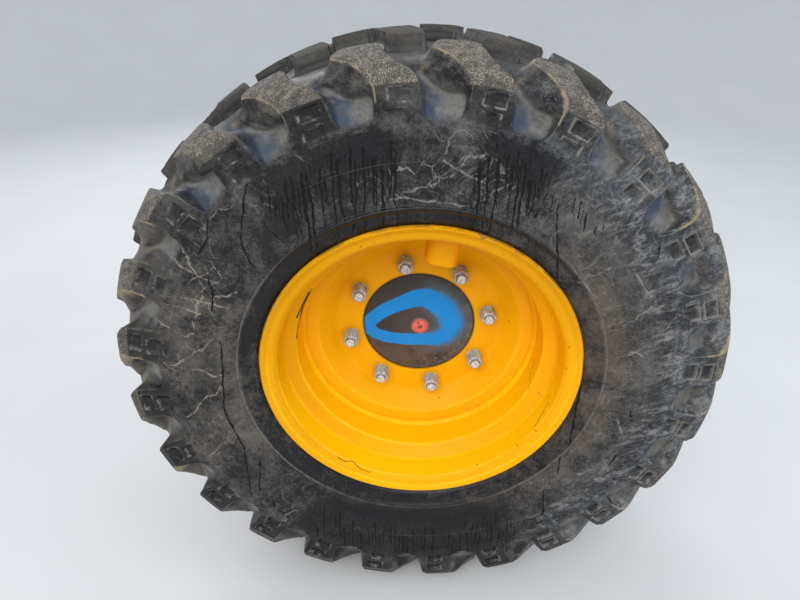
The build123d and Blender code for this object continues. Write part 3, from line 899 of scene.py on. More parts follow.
# beads of weld between the disc and the rim, with the ripples of their runs
WELDS = (
    ((-48.6, 224.4), (-47.6, 222.6), (-45.2, 219.9), (-42.2, 217.6), (-39.4, 216.2),
     (-37.6, 216.2), (-38.6, 220.0), (-39.6, 224.4)),
    ((-19.4, 224.4), (-20.4, 222.6), (-22.4, 220.0), (-24.6, 217.7), (-26.4, 216.3),
     (-27.6, 216.5), (-28.6, 220.0), (-29.2, 224.4)),
)


def weld(name, rows, seed):
    rng = np.random.default_rng(seed)
    count = 1680
    th = np.arange(count) / count * PI2
    lump = np.zeros(count)
    for k in range(2, 40):
        lump += rng.normal(0, 0.09) * np.sin(k * th + rng.uniform(0, PI2))
    rows = np.array(rows)
    mid = rows.mean(0)
    verts = []
    for k, (y, r) in enumerate(rows):
        face = 1.0 if 1 <= k <= 3 else (0.4 if k in (0, 4) else 0.0)
        phase = 300 * th + 1.1 * abs(k - 2.2) + 1.5 * lump
        grow = face * (0.42 * np.abs(np.sin(phase / 2)) - 0.2 + 0.6 * lump)
        d = np.array([y, r]) - mid
        d = d / np.linalg.norm(d)
        yy, rr = y + d[0] * grow, r + d[1] * grow
        verts.append(np.stack([rr * np.cos(th), yy + WHEEL_Y, rr * np.sin(th)], -1))
    faces = [tuple(q) for q in grid_faces(len(rows), count)]
    n = (len(rows) - 1) * count
    faces += [(n + j, n + (j + 1) % count, (j + 1) % count, j) for j in range(count)]
    obj = build_mesh(name, np.concatenate(verts) * MM, faces)
    face_out(obj)
    return obj


weld_out = weld("weld_outboard", WELDS[0], 21)
weld_in = weld("weld_inboard", WELDS[1], 22)

# ================================================================ materials

# long drips down the outboard sidewall, as (x, z) in mm from the axle
DRIPS = (
    ((-325, 82), (-341, -56), (-332, -103), (-319, -143), (-318, -269)),
    ((276, 34), (278, -30), (273, -138), (259, -171), (260, -211)),
    ((237, -249), (243, -308), (219, -328)),
    ((-239, 363), (-253, 323), (-266, 261), (-258, 221), (-251, 213)),
    ((-323, 201), (-321, 180), (-329, 138)),
    ((-307, 301), (-313, 266), (-332, 239)),
    ((-235, 292), (-204, 253)),
    ((188, 291), (197, 250), (209, 185)),
    ((338, 269), (340, 233)), ((361, -47), (364, -70)), ((356, -149), (346, -182)),
    ((-293, -175), (-301, -250)), ((-278, -274), (-278, -295)),
    ((227, 307), (229, 275)), ((208, 329), (207, 303)), ((216, 326), (217, 296)),
)
# pale streaks of dried mud, in the same way: on the sidewall, and up to the lugs
STREAKS = (
    ((-395, 239), (-371, 231), (-329, 197), (-311, 190)),
    ((-356, 269), (-346, 223), (-333, 185), (-346, 163), (-361, 108)),
    ((-374, 170), (-343, 161), (-304, 145)),
    ((-418, 164), (-389, 158), (-341, 133)),
    ((-434, 128), (-405, 119), (-380, 97), (-364, 106)),
    ((-431, 32), (-391, 47), (-372, 65), (-349, 72)),
    ((-394, 30), (-362, 28), (-349, 13), (-332, 12)),
    ((-407, -70), (-380, -47), (-349, -23), (-337, -4)),
    ((-322, 165), (-306, 168), (-282, 173)),
    ((-55, 376), (-40, 346), (-46, 333), (-35, 325), (-24, 336), (7, 340), (14, 375)),
    ((-42, 363), (-28, 373), (-12, 356)),
    ((23, 380), (40, 369), (86, 347)),
    ((81, 392), (40, 369), (7, 340)),
    ((-69, 316), (-35, 324), (29, 316), (65, 312)),
    ((238, 186), (265, 209), (279, 225)),
    ((219, 224), (241, 194), (272, 160)),
    ((316, 114), (337, 140), (361, 165)),
    ((307, 226), (335, 185), (353, 168)),
    ((318, 54), (345, 67), (383, 49)),
    ((328, -70), (344, -73), (363, -121)),
    ((290, -206), (307, -197), (333, -185)),
    ((-397, -175), (-360, -139), (-337, -127)),
    ((-367, -266), (-334, -287), (-306, -329)),
    ((-281, -349), (-245, -304), (-228, -307)),
)


def drip_lines(s, x, run, start, spread, scale, length, vary, thick, seed):
    """Separate runs down the wall: run grows downward, from start on."""
    wobble = s.add(s.mul(s.noise(17, 2, 0.5, seed=seed), 1.7),
                   s.mul(s.noise(62, 2, 0.5, seed=seed + 0.5), 1.1))
    lane = s.add(s.mul(x, scale), wobble)
    pick = s.new("ShaderNodeTexWhiteNoise", noise_dimensions="1D")
    s.put(pick.inputs["W"], s.add(s.math("FLOOR", lane), seed))
    one = pick.outputs["Value"]
    parts = s.new("ShaderNodeSeparateColor")
    s.put(parts.inputs[0], pick.outputs["Color"])
    two, three = parts.outputs[1], parts.outputs[2]
    gap = s.math("ABSOLUTE", s.sub(s.math("FRACT", lane), 0.5))
    gone = s.sub(run, s.math("MULTIPLY_ADD", two, spread, start))
    part = s.math("DIVIDE", gone, s.math("MULTIPLY_ADD", one, vary, length))
    width = s.mul(s.math("MULTIPLY_ADD", three, thick, 0.05),
                  s.math("MULTIPLY_ADD", part, -0.45, 1.0))
    width = s.mul(width, s.math("MULTIPLY_ADD", s.noise(110, 2, 0.6, seed=seed), 1.8, 0.15))
    line = s.step(s.sub(width, gap), 0.0, 0.09)
    return s.mul(line, s.step(gone, -0.003, 0.003), s.step(part, 1.0, 0.94))


def mat_tyre(name, tread):
    """The sidewall's finish, or the tread's; they meet without a seam."""
    s = Shade(name)
    x, y, z, rad = s.attr("px"), s.attr("py"), s.attr("pz"), s.attr("pr")
    lug = s.attr("lug")
    ux, uz = s.math("DIVIDE", x, rad), s.math("DIVIDE", z, rad)
    top = s.attr("top")
    mid = s.noise(26, 5, 0.62, seed=2.1)
    fine = s.noise(130, 4, 0.65, seed=3.7)

    # where the tyre is dusty and where it is wet and black
    right = s.mul(s.step(ux, -0.05, 0.80), s.lerp(s.step(uz, 0.10, -0.45), 1.0, 0.62))
    left = s.step(s.mul(ux, -1.0), 0.70, 0.98)
    low = s.mul(s.step(uz, -0.66, -0.86), s.step(ux, 0.66, 0.36), s.step(ux, -0.62, -0.46))
    zone = s.add(0.21, s.mul(right, 0.34))
    zone = s.add(zone, s.mul(left, 0.18))
    zone = s.add(zone, s.mul(s.step(rad, 0.395, 0.440), 0.14))
    zone = s.add(zone, s.mul(s.band(rad, 0.312, 0.338, 0.006), s.lerp(s.most(right, left), 0.02, 0.16)))
    zone = s.sub(zone, s.mul(low, s.step(rad, 0.300, 0.345), 0.60))
    # painted shade: the top of the tyre gets less dust, so it is painted darker
    zone = s.sub(zone, s.mul(s.step(uz, 0.72, 0.97), 0.12))
    bead = s.mul(s.step(rad, 0.309, 0.303), s.lerp(right, 0.36, 0.10))
    zone = s.sub(zone, bead)
    grit = s.noise(430, 3, 0.75, seed=4.1)
    dust = s.add(zone, s.mul(s.sub(s.noise(7, 3, 0.55, seed=1.3), 0.5), 1.3))
    dust = s.add(dust, s.mul(s.sub(mid, 0.5), 2.1))
    dust = s.add(dust, s.mul(s.sub(grit, 0.5), 1.5))
    dust = s.math("ADD", dust, s.mul(s.sub(fine, 0.5), 1.5), clamp=True)

    # the dust is blue grey outside and to the right, brown near the bead
    cool = s.mul(s.step(rad, 0.37, 0.44), s.step(ux, -0.3, 0.6))
    film = s.mix(cool, (0.104, 0.099, 0.094), (0.104, 0.115, 0.131))
    warm = s.mul(s.step(rad, 0.37, 0.31), s.step(s.add(ux, s.mul(uz, -0.5)), -0.1, 0.8))
    film = s.mix(warm, film, (0.118, 0.093, 0.072))
    film = s.mix(s.mul(left, 0.8), film, (0.118, 0.104, 0.088))
    color = s.mix(s.noise(45, 3, 0.6, seed=5), (0.0075, 0.0075, 0.0085), (0.020, 0.020, 0.021))
    color = s.mix(dust, color, film)
    specks = s.mul(s.step(grit, 0.60, 0.70), s.step(dust, 0.15, 0.6), 0.5)
    color = s.mix(specks, color, (0.240, 0.225, 0.200))
    rough = s.lerp(dust, 0.34, 0.62)

    # cloudy lighter smears, wiped along the way the wheel turns, and on the
    # right scratched by the soil that it drove through
    smear = s.noise(1.0, 5, 0.62, vector=s.attr("wiped", "Vector"), distortion=0.35, seed=9)
    smear = s.mul(s.step(smear, 0.53, 0.70), s.step(mid, 0.36, 0.58))
    smear = s.mul(smear, s.add(0.30, s.mul(s.step(rad, 0.36, 0.42), 0.5)),
                  s.sub(1.0, s.mul(low, 0.6)), s.add(0.45, s.mul(right, 0.35)))
    color = s.mix(smear, color, (0.165, 0.162, 0.155))
    scrape = s.noise(1.0, 4, 0.68, vector=s.turned((15, 30, 130), 25.5), distortion=0.3, seed=31)
    scrape = s.mul(s.step(s.add(scrape, s.mul(s.sub(grit, 0.5), 0.35)), 0.50, 0.64),
                   s.step(s.add(rad, s.mul(s.sub(mid, 0.5), 0.09)), 0.350, 0.400),
                   s.step(s.add(ux, s.mul(mid, 0.5)), 0.45, 0.95))
    color = s.mix(s.mul(scrape, 0.50), color, (0.255, 0.250, 0.240))
    clod = s.noise(1.0, 4, 0.72, vector=s.turned((55, 55, 85), 35), distortion=0.8, seed=33)
    where = s.mul(s.step(s.add(rad, s.mul(s.sub(mid, 0.5), 0.07)), 0.365, 0.405),
                  s.step(s.add(ux, s.mul(mid, 0.4)), 0.48, 0.90))
    color = s.mix(s.mul(s.step(clod, 0.53, 0.42), where, 0.72), color, (0.020, 0.021, 0.024))
    color = s.mix(s.mul(s.step(clod, 0.53, 0.66), where, 0.60), color, (0.270, 0.268, 0.262))

    # wet black drips under gravity, in a few places
    above = s.mul(s.step(uz, 0.55, 0.72),
                  s.most(s.band(ux, -0.56, -0.12, 0.05), s.band(ux, 0.20, 0.42, 0.04)))
    edge_r = s.add(rad, s.mul(s.sub(fine, 0.5), 0.030))
    stain = s.mul(above, s.band(edge_r, 0.362, 0.420, 0.012), s.step(mid, 0.33, 0.50), 0.88)
    stain = s.most(stain, s.mul(low, s.step(edge_r, 0.300, 0.335), s.step(mid, 0.26, 0.44), 0.90))
    color = s.mix(stain, color, (0.011, 0.011, 0.012))
    # thin grey curls over the wet black: painted small highlights, and dried water edges
    water_curls_and_glints = s.step(s.math("ABSOLUTE", s.sub(fine, 0.5)), 0.030, 0.006)
    water_curls_and_glints = s.mul(water_curls_and_glints, low, s.step(edge_r, 0.330, 0.355), s.inv(top), s.step(mid, 0.42, 0.58))
    color = s.mix(s.mul(water_curls_and_glints, 0.55), color, (0.060, 0.060, 0.061))
    inward = s.mul(rad, -1.0)
    drip = s.mul(drip_lines(s, x, inward, -0.415, 0.034, 165, 0.014, 0.125, 0.38, 2.0), above)
    drip = s.most(drip, s.mul(drip_lines(s, x, inward, -0.408, 0.040, 118, 0.030, 0.100, 0.30, 21.0),
                              above))
    sparse = drip_lines(s, x, inward, -0.405, 0.062, 95, 0.004, 0.048, 0.20, 12.0)
    drip = s.most(drip, s.mul(sparse, s.step(uz, 0.50, 0.62), s.band(ux, 0.44, 0.66, 0.03)))
    deeper = drip_lines(s, x, rad, 0.345, 0.055, 130, 0.025, 0.085, 0.34, 5.0)
    drip = s.most(drip, s.mul(deeper, low))
    drip = s.mul(drip, s.inv(top))
    height = s.add(s.mul(s.noise(900, 2, 0.6), 0.25), s.mul(fine, 0.8))

    # pale streaks of dried mud
    wander = s.noise(60, 3, 0.6, seed=19)
    near = [w for w in STREAKS if not tread or max(math.hypot(*p) for p in w) > 425]
    shake = s.math("MULTIPLY_ADD", s.noise(45, 3, 0.6, seed=20), 0.022, -0.011)
    pale = s.strokes(near, s.add(x, shake), s.sub(z, shake))
    pale = s.sub(pale, s.math("MULTIPLY_ADD", wander, 0.0085, -0.0035))
    pale = s.mul(s.step(pale, 0.0016, -0.0006), s.step(y, -0.50, -0.53),
                 s.step(rad, 0.452, 0.440), s.step(fine, 0.30, 0.52))
    mudtone = s.mix(left, (0.230, 0.220, 0.200), (0.275, 0.240, 0.190))

    if not tread:
        # finer mud lines that branch like a net
        where = s.noise(11, 3, 0.6, seed=13)
        warp = s.attr("warp", "Vector")
        vein = s.cells(26, "DISTANCE_TO_EDGE", vector=warp, flat=True)
        lines = s.mul(s.step(vein, 0.036, 0.008), s.step(where, 0.44, 0.56))
        vein = s.cells(61, "DISTANCE_TO_EDGE", vector=warp, flat=True)
        lines = s.most(lines, s.mul(s.step(vein, 0.060, 0.012), s.step(where, 0.52, 0.62), 0.75))
        lines = s.mul(lines, s.step(s.noise(120, 3, 0.6, seed=14), 0.40, 0.56))
        reach = s.most(s.mul(s.step(ux, -0.35, -0.8), s.step(rad, 0.33, 0.37), 1.0),
                       s.mul(s.step(uz, 0.75, 0.95), s.step(rad, 0.30, 0.34), 0.9),
                       s.mul(right, 0.9), 0.30)
        lines = s.mul(lines, reach, s.band(rad, 0.318, 0.422, 0.008), s.inv(s.mul(low, 0.8)))
        lines = s.most(s.mul(lines, 0.72), s.mul(pale, 0.90))
        color = s.mix(lines, color, mudtone)
        rough = s.lerp(lines, rough, 0.85)
        # single long runs, down the outboard side only
        shake = s.mul(shake, 0.35)
        runs = s.strokes(DRIPS, s.add(x, shake), z)
        runs = s.step(s.sub(runs, s.math("MULTIPLY_ADD", wander, 0.0060, -0.0018)),
                      0.0007, -0.0003)
        runs = s.mul(runs, s.step(y, -0.50, -0.53), s.step(rad, 0.430, 0.423))
        short = drip_lines(s, x, inward, -0.3090, 0.004, 78, 0.004, 0.030, 0.16, 9.0)
        drip = s.most(drip, runs, s.mul(short, s.step(uz, 0.75, 0.90)))
        wetness = s.most(drip, s.mul(stain, 0.8), s.mul(bead, 1.5))
        color = s.mix(drip, color, (0.0035, 0.0035, 0.004))
        rough = s.lerp(wetness, rough, 0.20)
        # the ridge above the bead is rubbed grey, except where it is wet
        ridge = s.band(s.add(rad, s.mul(s.sub(wander, 0.5), 0.0016)), 0.3092, 0.3106, 0.0010)
        ridge = s.mul(ridge, s.step(fine, 0.28, 0.52), s.step(uz, 0.86, 0.60), s.inv(s.mul(low, 0.7)))
        color = s.mix(s.mul(ridge, 0.55), color, (0.200, 0.190, 0.175))
        # painted shade: the groove just inside the ridge is painted near black on the tyre's upper part
        groove = s.mul(s.band(rad, 0.3020, 0.3075, 0.0020), s.step(uz, 0.45, 0.75),
                       s.step(mid, 0.20, 0.50))
        color = s.mix(s.mul(groove, 0.70), color, (0.008, 0.008, 0.009))
        n = s.bump(height, 0.55, 0.0011)
        return s.done(color, rough, n, Specular_IOR_Level=0.20)

    color = s.mix(s.mul(pale, 0.85), color, mudtone)
    rough = s.lerp(pale, rough, 0.85)
    color = s.mix(drip, color, (0.0035, 0.0035, 0.004))
    rough = s.lerp(s.most(drip, s.mul(stain, 0.8)), rough, 0.20)

    # between the tread's blocks the rubber is plain, with thin brown dust
    across = s.math("ABSOLUTE", s.sub(y, WHEEL_Y * MM))
    inner = s.mul(s.step(across, 0.180, 0.130), s.step(rad, 0.470, 0.490))
    ground = s.mix(s.step(s.add(s.mul(mid, 0.6), s.mul(fine, 0.4)), 0.36, 0.66),
                   (0.016, 0.016, 0.017), (0.056, 0.052, 0.047))
    color = s.mix(s.mul(inner, 0.88), color, ground)

    # side faces: dark, wet on some lugs, with scuffed ledges that also carry painted highlights, and
    # painted shade in the windows
    ident, void = s.attr("lugid"), s.attr("void")
    face = s.mul(s.step(lug, 0.96, 0.995), s.inv(top), s.step(rad, 0.431, 0.440))
    color = s.mix(s.mul(face, s.sub(1.0, s.mul(right, 0.75)), 0.62), color,
                  s.mix(s.step(s.add(s.mul(mid, 0.6), s.mul(grit, 0.4)), 0.38, 0.62),
                        (0.010, 0.010, 0.010), (0.075, 0.072, 0.066)))
    blackish = s.mul(face, s.step(s.add(ident, s.mul(s.sub(mid, 0.5), 0.8)), 0.62, 0.78),
                     s.sub(1.0, s.mul(right, 0.8)))
    color = s.mix(s.mul(blackish, 0.8), color, (0.010, 0.010, 0.011))
    rough = s.lerp(blackish, rough, 0.30)
    # painted highlight with scuffs: pale lines on the crests and window frames
    scuff_and_highlight = s.mul(s.most(s.mul(s.step(s.attr("edge"), 0.55, 0.95), 0.7),
                         s.step(s.attr("frame"), 0.35, 0.85)), face,
                  s.step(s.add(s.noise(70, 3, 0.6, seed=23), s.mul(right, 0.15)), 0.48, 0.62))
    color = s.mix(s.mul(scuff_and_highlight, 0.62), color, (0.27, 0.255, 0.225))
    # painted shade: the windows' recesses are painted darker
    window_shade = s.mul(s.attr("window"), s.step(mid, 0.66, 0.44))
    color = s.mix(s.mul(window_shade, 0.62), color, (0.018, 0.018, 0.019))

    # worn tops: pale, rough and speckled
    speck = s.noise(560, 3, 0.75, seed=24)
    tone = s.mix(s.noise(13, 3, 0.6, seed=26), (0.330, 0.275, 0.212), (0.290, 0.275, 0.252))
    worn = s.mix(s.step(speck, 0.60, 0.42), tone, (0.060, 0.054, 0.048))
    worn = s.mix(s.mul(s.step(s.noise(90, 4, 0.7, seed=25), 0.58, 0.40), 0.62), worn,
                 (0.045, 0.041, 0.038))
    # painted shade: the tops of the tread's middle blocks are painted darker
    worn = s.mix(s.mul(s.step(across, 0.118, 0.100), 0.80), worn, (0.052, 0.048, 0.044))
    worn = s.mix(s.mul(low, 0.5), worn, (0.06, 0.054, 0.048))
    color = s.mix(s.mul(top, s.step(fine, 0.12, 0.34)), color, worn)
    rough = s.lerp(top, rough, 0.90)
    height = s.add(height, s.mul(top, speck, 1.6))

    # the scoops are dark, with painted reflections of the sky in blue and pale patches; mud dries in them
    scoop = s.mul(s.step(lug, 0.55, 0.10), s.band(rad, 0.442, 0.478, 0.011))
    cloud = s.noise(30, 4, 0.62, seed=41)
    color = s.mix(s.mul(scoop, 0.75), color, (0.040, 0.043, 0.049))
    painted_sky_sheen = s.mul(scoop, s.step(s.add(cloud, s.mul(s.band(void, 0.28, 0.60, 0.20), 0.25)), 0.50, 0.76))
    color = s.mix(s.mul(painted_sky_sheen, s.lerp(s.step(fine, 0.35, 0.60), 0.45, 0.70)), color, (0.215, 0.210, 0.196))
    # painted reflection: a blue sky tint near each void's a-side wall, on the tyre's upper left
    blue = s.mul(s.band(void, 0.62, 0.90, 0.16), s.step(uz, 0.05, 0.50), s.step(ux, -0.84, -0.62),
                 s.band(rad, 0.440, 0.486, 0.013), s.step(cloud, 0.62, 0.40))
    color = s.mix(s.mul(blue, 0.62), color, (0.036, 0.066, 0.118))
    rough = s.lerp(scoop, rough, 0.36)

    # tan mud that stays on the crests and in the corners
    mudat = s.attr("mud")
    mud_n = s.noise(34, 4, 0.65, seed=27)
    more = s.most(s.mul(left, 0.56), s.mul(right, 0.14))
    mud = s.add(s.add(mudat, more), s.mul(s.sub(mud_n, 0.5), 2.1))
    mud = s.step(s.add(mud, s.mul(s.sub(grit, 0.5), 0.8)), 0.72, 1.20)
    mud = s.mul(mud, s.step(mudat, 0.02, 0.2), s.sub(1.0, s.mul(low, 0.6)))
    tan = s.mix(s.noise(210, 3, 0.6, seed=28), (0.20, 0.150, 0.095), (0.46, 0.375, 0.255))
    color = s.mix(s.mul(mud, 0.80), color, tan)
    # the walls under the crest are dusty, and so are the left lugs' tips
    chalk = s.mul(s.step(lug, 0.20, 0.75), s.inv(top), s.band(void, -0.1, 0.30, 0.08),
                  s.step(rad, 0.452, 0.470), s.step(s.add(mid, s.mul(s.sub(grit, 0.5), 0.6)), 0.40, 0.70))
    color = s.mix(s.mul(chalk, s.inv(face), 0.45), color, (0.235, 0.215, 0.180))
    tips = s.mul(left, s.step(across, 0.110, 0.150), s.step(rad, 0.5115, 0.5165), s.step(lug, 0.85, 0.98),
                 s.step(s.add(mud_n, s.mul(s.sub(grit, 0.5), 0.5)), 0.34, 0.50))
    color = s.mix(s.mul(tips, 0.85), color, tan)
    rough = s.lerp(mud, rough, 0.90)
    dirt = s.mul(s.step(lug, 0.60, 0.02), s.step(rad, 0.440, 0.470),
                 s.step(s.add(mud_n, s.mul(left, 0.16)), 0.46, 0.62), s.sub(1.0, s.mul(scoop, 0.5)))
    color = s.mix(s.mul(dirt, s.lerp(inner, 0.65, 0.38)), color, (0.215, 0.178, 0.128))
    n = s.bump(height, 0.55, 0.0011)
    return s.done(color, rough, n, Specular_IOR_Level=0.20)


# marks on the rim, in mm from the wheel's mid-plane: where each was scraped
RIM_MARKS = (
    (1.00, ((-192.8, -106.0, 125.8), (-217.8, -106.3, 75.7))),
    (0.85, ((-188.0, -104.0, 132.0), (-206.0, -103.0, 98.0), (-217.7, -101.6, 52.8),
            (-222.8, -101.5, 29.3))),
    (0.90, ((-204.2, -104.4, 101.9), (-200.4, -103.6, 106.0))),
    (0.45, ((-154.3, -168.4, -197.7), (-141.1, -168.2, -207.1), (-126.7, -162.8, -213.0),
            (-111.0, -170.0, -226.0), (-93.8, -170.2, -233.8))),
    (0.35, ((221.2, -71.4, -35.3), (214.4, -77.0, -65.0), (209.0, -101.5, -82.5))),
    (0.30, ((224.4, -113.0, -81.6), (230.9, -122.6, -82.3))),
    (0.35, ((235.3, -148.7, -75.9), (225.6, -150.8, -101.4), (212.3, -159.7, -127.9),
            (215.4, -168.5, -128.6))),
)
RIM_SPECKS = (
    (236.6, -139.3, -70.0), (175.7, -13.7, 15.0), (179.8, -170.6, 177.9),
    (249.7, -167.4, 14.0), (247.6, -170.9, 59.5), (184.4, -164.1, -166.1),
    (113.4, -160.9, -220.4), (46.2, -17.6, -174.2), (-94.3, -171.5, 240.4),
    (44.7, 0.0, 128.9), (17.7, -23.6, 185.1),
)


def mat_rim():
    s = Shade("rim_paint")
    rad, ang, off = s.polar()
    x, y, z = s.xyz()
    tone = s.noise(5, 3, 0.5, seed=1)
    color = s.mix(tone, (0.97, 0.415, 0.0008), (1.0, 0.455, 0.0012))
    # painted shade: deep inside, on the disc and up in the well, the colour is a little darker
    deep = s.mul(s.step(off, -0.070, -0.020), 0.42)
    color = s.mix(deep, color, (0.88, 0.450, 0.002))
    # painted shade: the top of the barrel and of the flange are painted darker
    painted_upper_shade = s.mul(s.step(z, 0.02, 0.20), s.step(off, -0.165, -0.10), 0.45)
    color = s.mix(painted_upper_shade, color, (0.70, 0.29, 0.002))
    shade = s.mul(s.step(z, -0.02, 0.20), s.step(rad, 0.246, 0.254), s.step(off, -0.155, -0.165), 0.55)
    color = s.mix(shade, color, (0.56, 0.245, 0.003))
    # painted shade: the left of the barrel and flange is painted darker
    painted_left_shade = s.mul(s.step(x, -0.06, -0.24), s.step(off, -0.07, -0.11), 0.5)
    color = s.mix(painted_left_shade, color, (0.64, 0.290, 0.001))
    # painted light: the barrel's lower half is painted brighter on its cylindrical bands
    barrel = s.most(s.band(off, -0.1000, -0.0430, 0.004), s.band(off, -0.1625, -0.1225, 0.003))
    barrel = s.mul(barrel, s.step(z, 0.02, -0.10))
    color = s.mix(s.mul(barrel, 0.85), color, (1.0, 0.580, 0.0016))
    # painted highlights: pale lines along the rim's bends, on its lower half
    glint = None
    for y0, r0, wide, much in ((-0.034, 0.1955, 0.0048, 0.55), (-0.040, 0.2225, 0.0040, 0.75),
                               (-0.1010, 0.2250, 0.0048, 0.80), (-0.1205, 0.2447, 0.0048, 0.80),
                               (-0.1640, 0.2480, 0.0046, 0.85), (-0.1730, 0.2640, 0.0035, 0.60)):
        dy, dr = s.sub(off, y0), s.sub(rad, r0)
        d = s.math("SQRT", s.add(s.mul(dy, dy), s.mul(dr, dr)))
        one = s.mul(s.step(d, wide, 0.0008), much)
        glint = one if glint is None else s.most(glint, one)
    glint = s.mul(glint, s.step(z, 0.08, -0.06), s.step(s.noise(22, 3, 0.6, seed=20), 0.25, 0.55))
    color = s.mix(glint, color, (1.0, 0.560, 0.018))
    # painted shade with grime: a brown halo round each nut, and a dark ring under the cover's edge
    local = s.sub(s.math("FLOORED_MODULO", s.sub(ang, math.radians(STUD_PHASE - 22.5)),
                         math.radians(45.0)), math.radians(22.5))
    dx = s.sub(s.mul(rad, s.math("COSINE", local)), STUD_R * MM)
    dz = s.mul(rad, s.math("SINE", local))
    nut = s.math("SQRT", s.add(s.mul(dx, dx), s.mul(dz, dz)))
    on_disc = s.step(off, -0.012, -0.006)
    haze = s.mul(s.step(s.add(nut, s.mul(s.sub(s.noise(70, 3, seed=2), 0.5), 0.012)),
                        0.0275, 0.0160), on_disc)
    color = s.mix(s.mul(haze, 0.22), color, (0.34, 0.135, 0.010))
    # painted shade: a dark ring on the disc round the cover, at the gap
    ring = s.mul(s.step(rad, 0.1150, 0.1105), on_disc)
    color = s.mix(s.mul(ring, 0.55), color, (0.16, 0.07, 0.01))
    # painted shade with dirt: darker in the corner of the disc and along the creases
    corner = s.band(rad, 0.213, 0.221, 0.005)
    crease = s.most(s.mul(corner, s.step(off, -0.055, -0.045)),
                    s.mul(s.band(off, -0.1735, -0.1690, 0.003), s.step(rad, 0.262, 0.250)))
    crease = s.mul(crease, s.step(s.noise(30, 4, 0.6, seed=3), 0.38, 0.68))
    color = s.mix(s.mul(crease, 0.13), color, (0.42, 0.20, 0.015))
    # faint runs of dirty water, and dust
    stain = s.noise(1.0, 4, 0.6, vector=s.vec(s.mul(x, 60), s.mul(y, 60), s.mul(z, 9)), seed=4)
    color = s.mix(s.mul(s.step(stain, 0.58, 0.72), 0.13), color, (0.48, 0.26, 0.04))
    # specks of dirt
    dots = s.cells(150, "F1", vector=s.coord)
    pick = s.cells(150, "F1", vector=s.coord, what="Color")
    pick = s.xyz(pick)[0]
    dots = s.mul(s.step(dots, 0.16, 0.09), s.step(pick, 0.955, 0.965))
    color = s.mix(s.mul(dots, 0.75), color, (0.14, 0.055, 0.008))
    wob = s.warped(0.0016, 90, 3, seed=5)
    specks = None
    for p in RIM_SPECKS:
        node = s.new("ShaderNodeVectorMath", operation="DISTANCE")
        s.put(node.inputs[0], wob)
        node.inputs[1].default_value = (p[0] * MM, (p[1] + WHEEL_Y) * MM, p[2] * MM)
        specks = node.outputs["Value"] if specks is None else s.least(specks, node.outputs["Value"])
    color = s.mix(s.mul(s.step(specks, 0.0022, 0.0010), 0.70), color, (0.10, 0.035, 0.004))
    scraped = None
    broken = s.noise(150, 3, 0.6, seed=6)
    for strength, pts in RIM_MARKS:
        pts = [(p[0], p[1] + WHEEL_Y, p[2]) for p in pts]
        d = s.line(pts, vector=wob)
        m = s.mul(s.step(d, 0.0012 + 0.0016 * strength, 0.0005 + 0.0003 * strength),
                  s.step(broken, 0.50 - 0.42 * strength, 0.62 - 0.42 * strength), min(1.0, strength + 0.2))
        scraped = m if scraped is None else s.most(scraped, m)
    color = s.mix(scraped, color, (0.040, 0.014, 0.004))
    # the flange's lip: rubbed by the ground, with rubber and mud on it
    lip = s.most(s.step(rad, 0.2695, 0.2745), s.step(off, -0.1765, -0.1785))
    chip_n = s.noise(60, 5, 0.7, seed=7)
    chips = s.mul(lip, s.step(chip_n, 0.60, 0.66))
    rub = s.mul(s.step(rad, 0.2725, 0.2755), s.step(s.noise(24, 4, 0.6, seed=8), 0.46, 0.60))
    color = s.mix(s.mul(rub, 0.55), color, (0.05, 0.035, 0.02))
    color = s.mix(chips, color, s.mix(s.noise(140, 3, seed=9), (0.035, 0.020, 0.012), (0.42, 0.30, 0.18)))
    # the side towards the axle is dusty and brown
    back = s.step(off, 0.0, 0.030)
    soil = s.mul(back, s.step(s.add(s.noise(16, 5, 0.65, seed=10), s.mul(s.noise(150, 3, 0.6), 0.25)),
                              0.52, 0.78))
    color = s.mix(s.mul(soil, 0.75), color, (0.16, 0.105, 0.06))
    rough = s.lerp(s.noise(40, 4, 0.6, seed=11), 0.26, 0.44)
    rough = s.lerp(s.most(soil, haze, chips, s.mul(crease, 0.6)), rough, 0.75)
    height = s.add(s.mul(s.noise(240, 2, 0.5, seed=12), 0.35), s.mul(s.noise(38, 3, 0.5, seed=13), 1.3))
    height = s.sub(height, s.mul(s.most(chips, scraped), 0.9))
    n = s.bump(height, 0.30, 0.0007)
    return s.done(color, rough, n, Specular_IOR_Level=0.09)


# the blue spray on the cover: a loop, as (x, z) in mm from the axle
SPRAY = (
    (-104, -4), (-90, 14), (-66, 34), (-40, 48), (-10, 60), (10, 62), (32, 52),
    (50, 36), (63, 10), (65, -6), (56, -23), (36, -32), (-12, -33), (-62, -30),
    (-88, -21), (-104, -8),
)


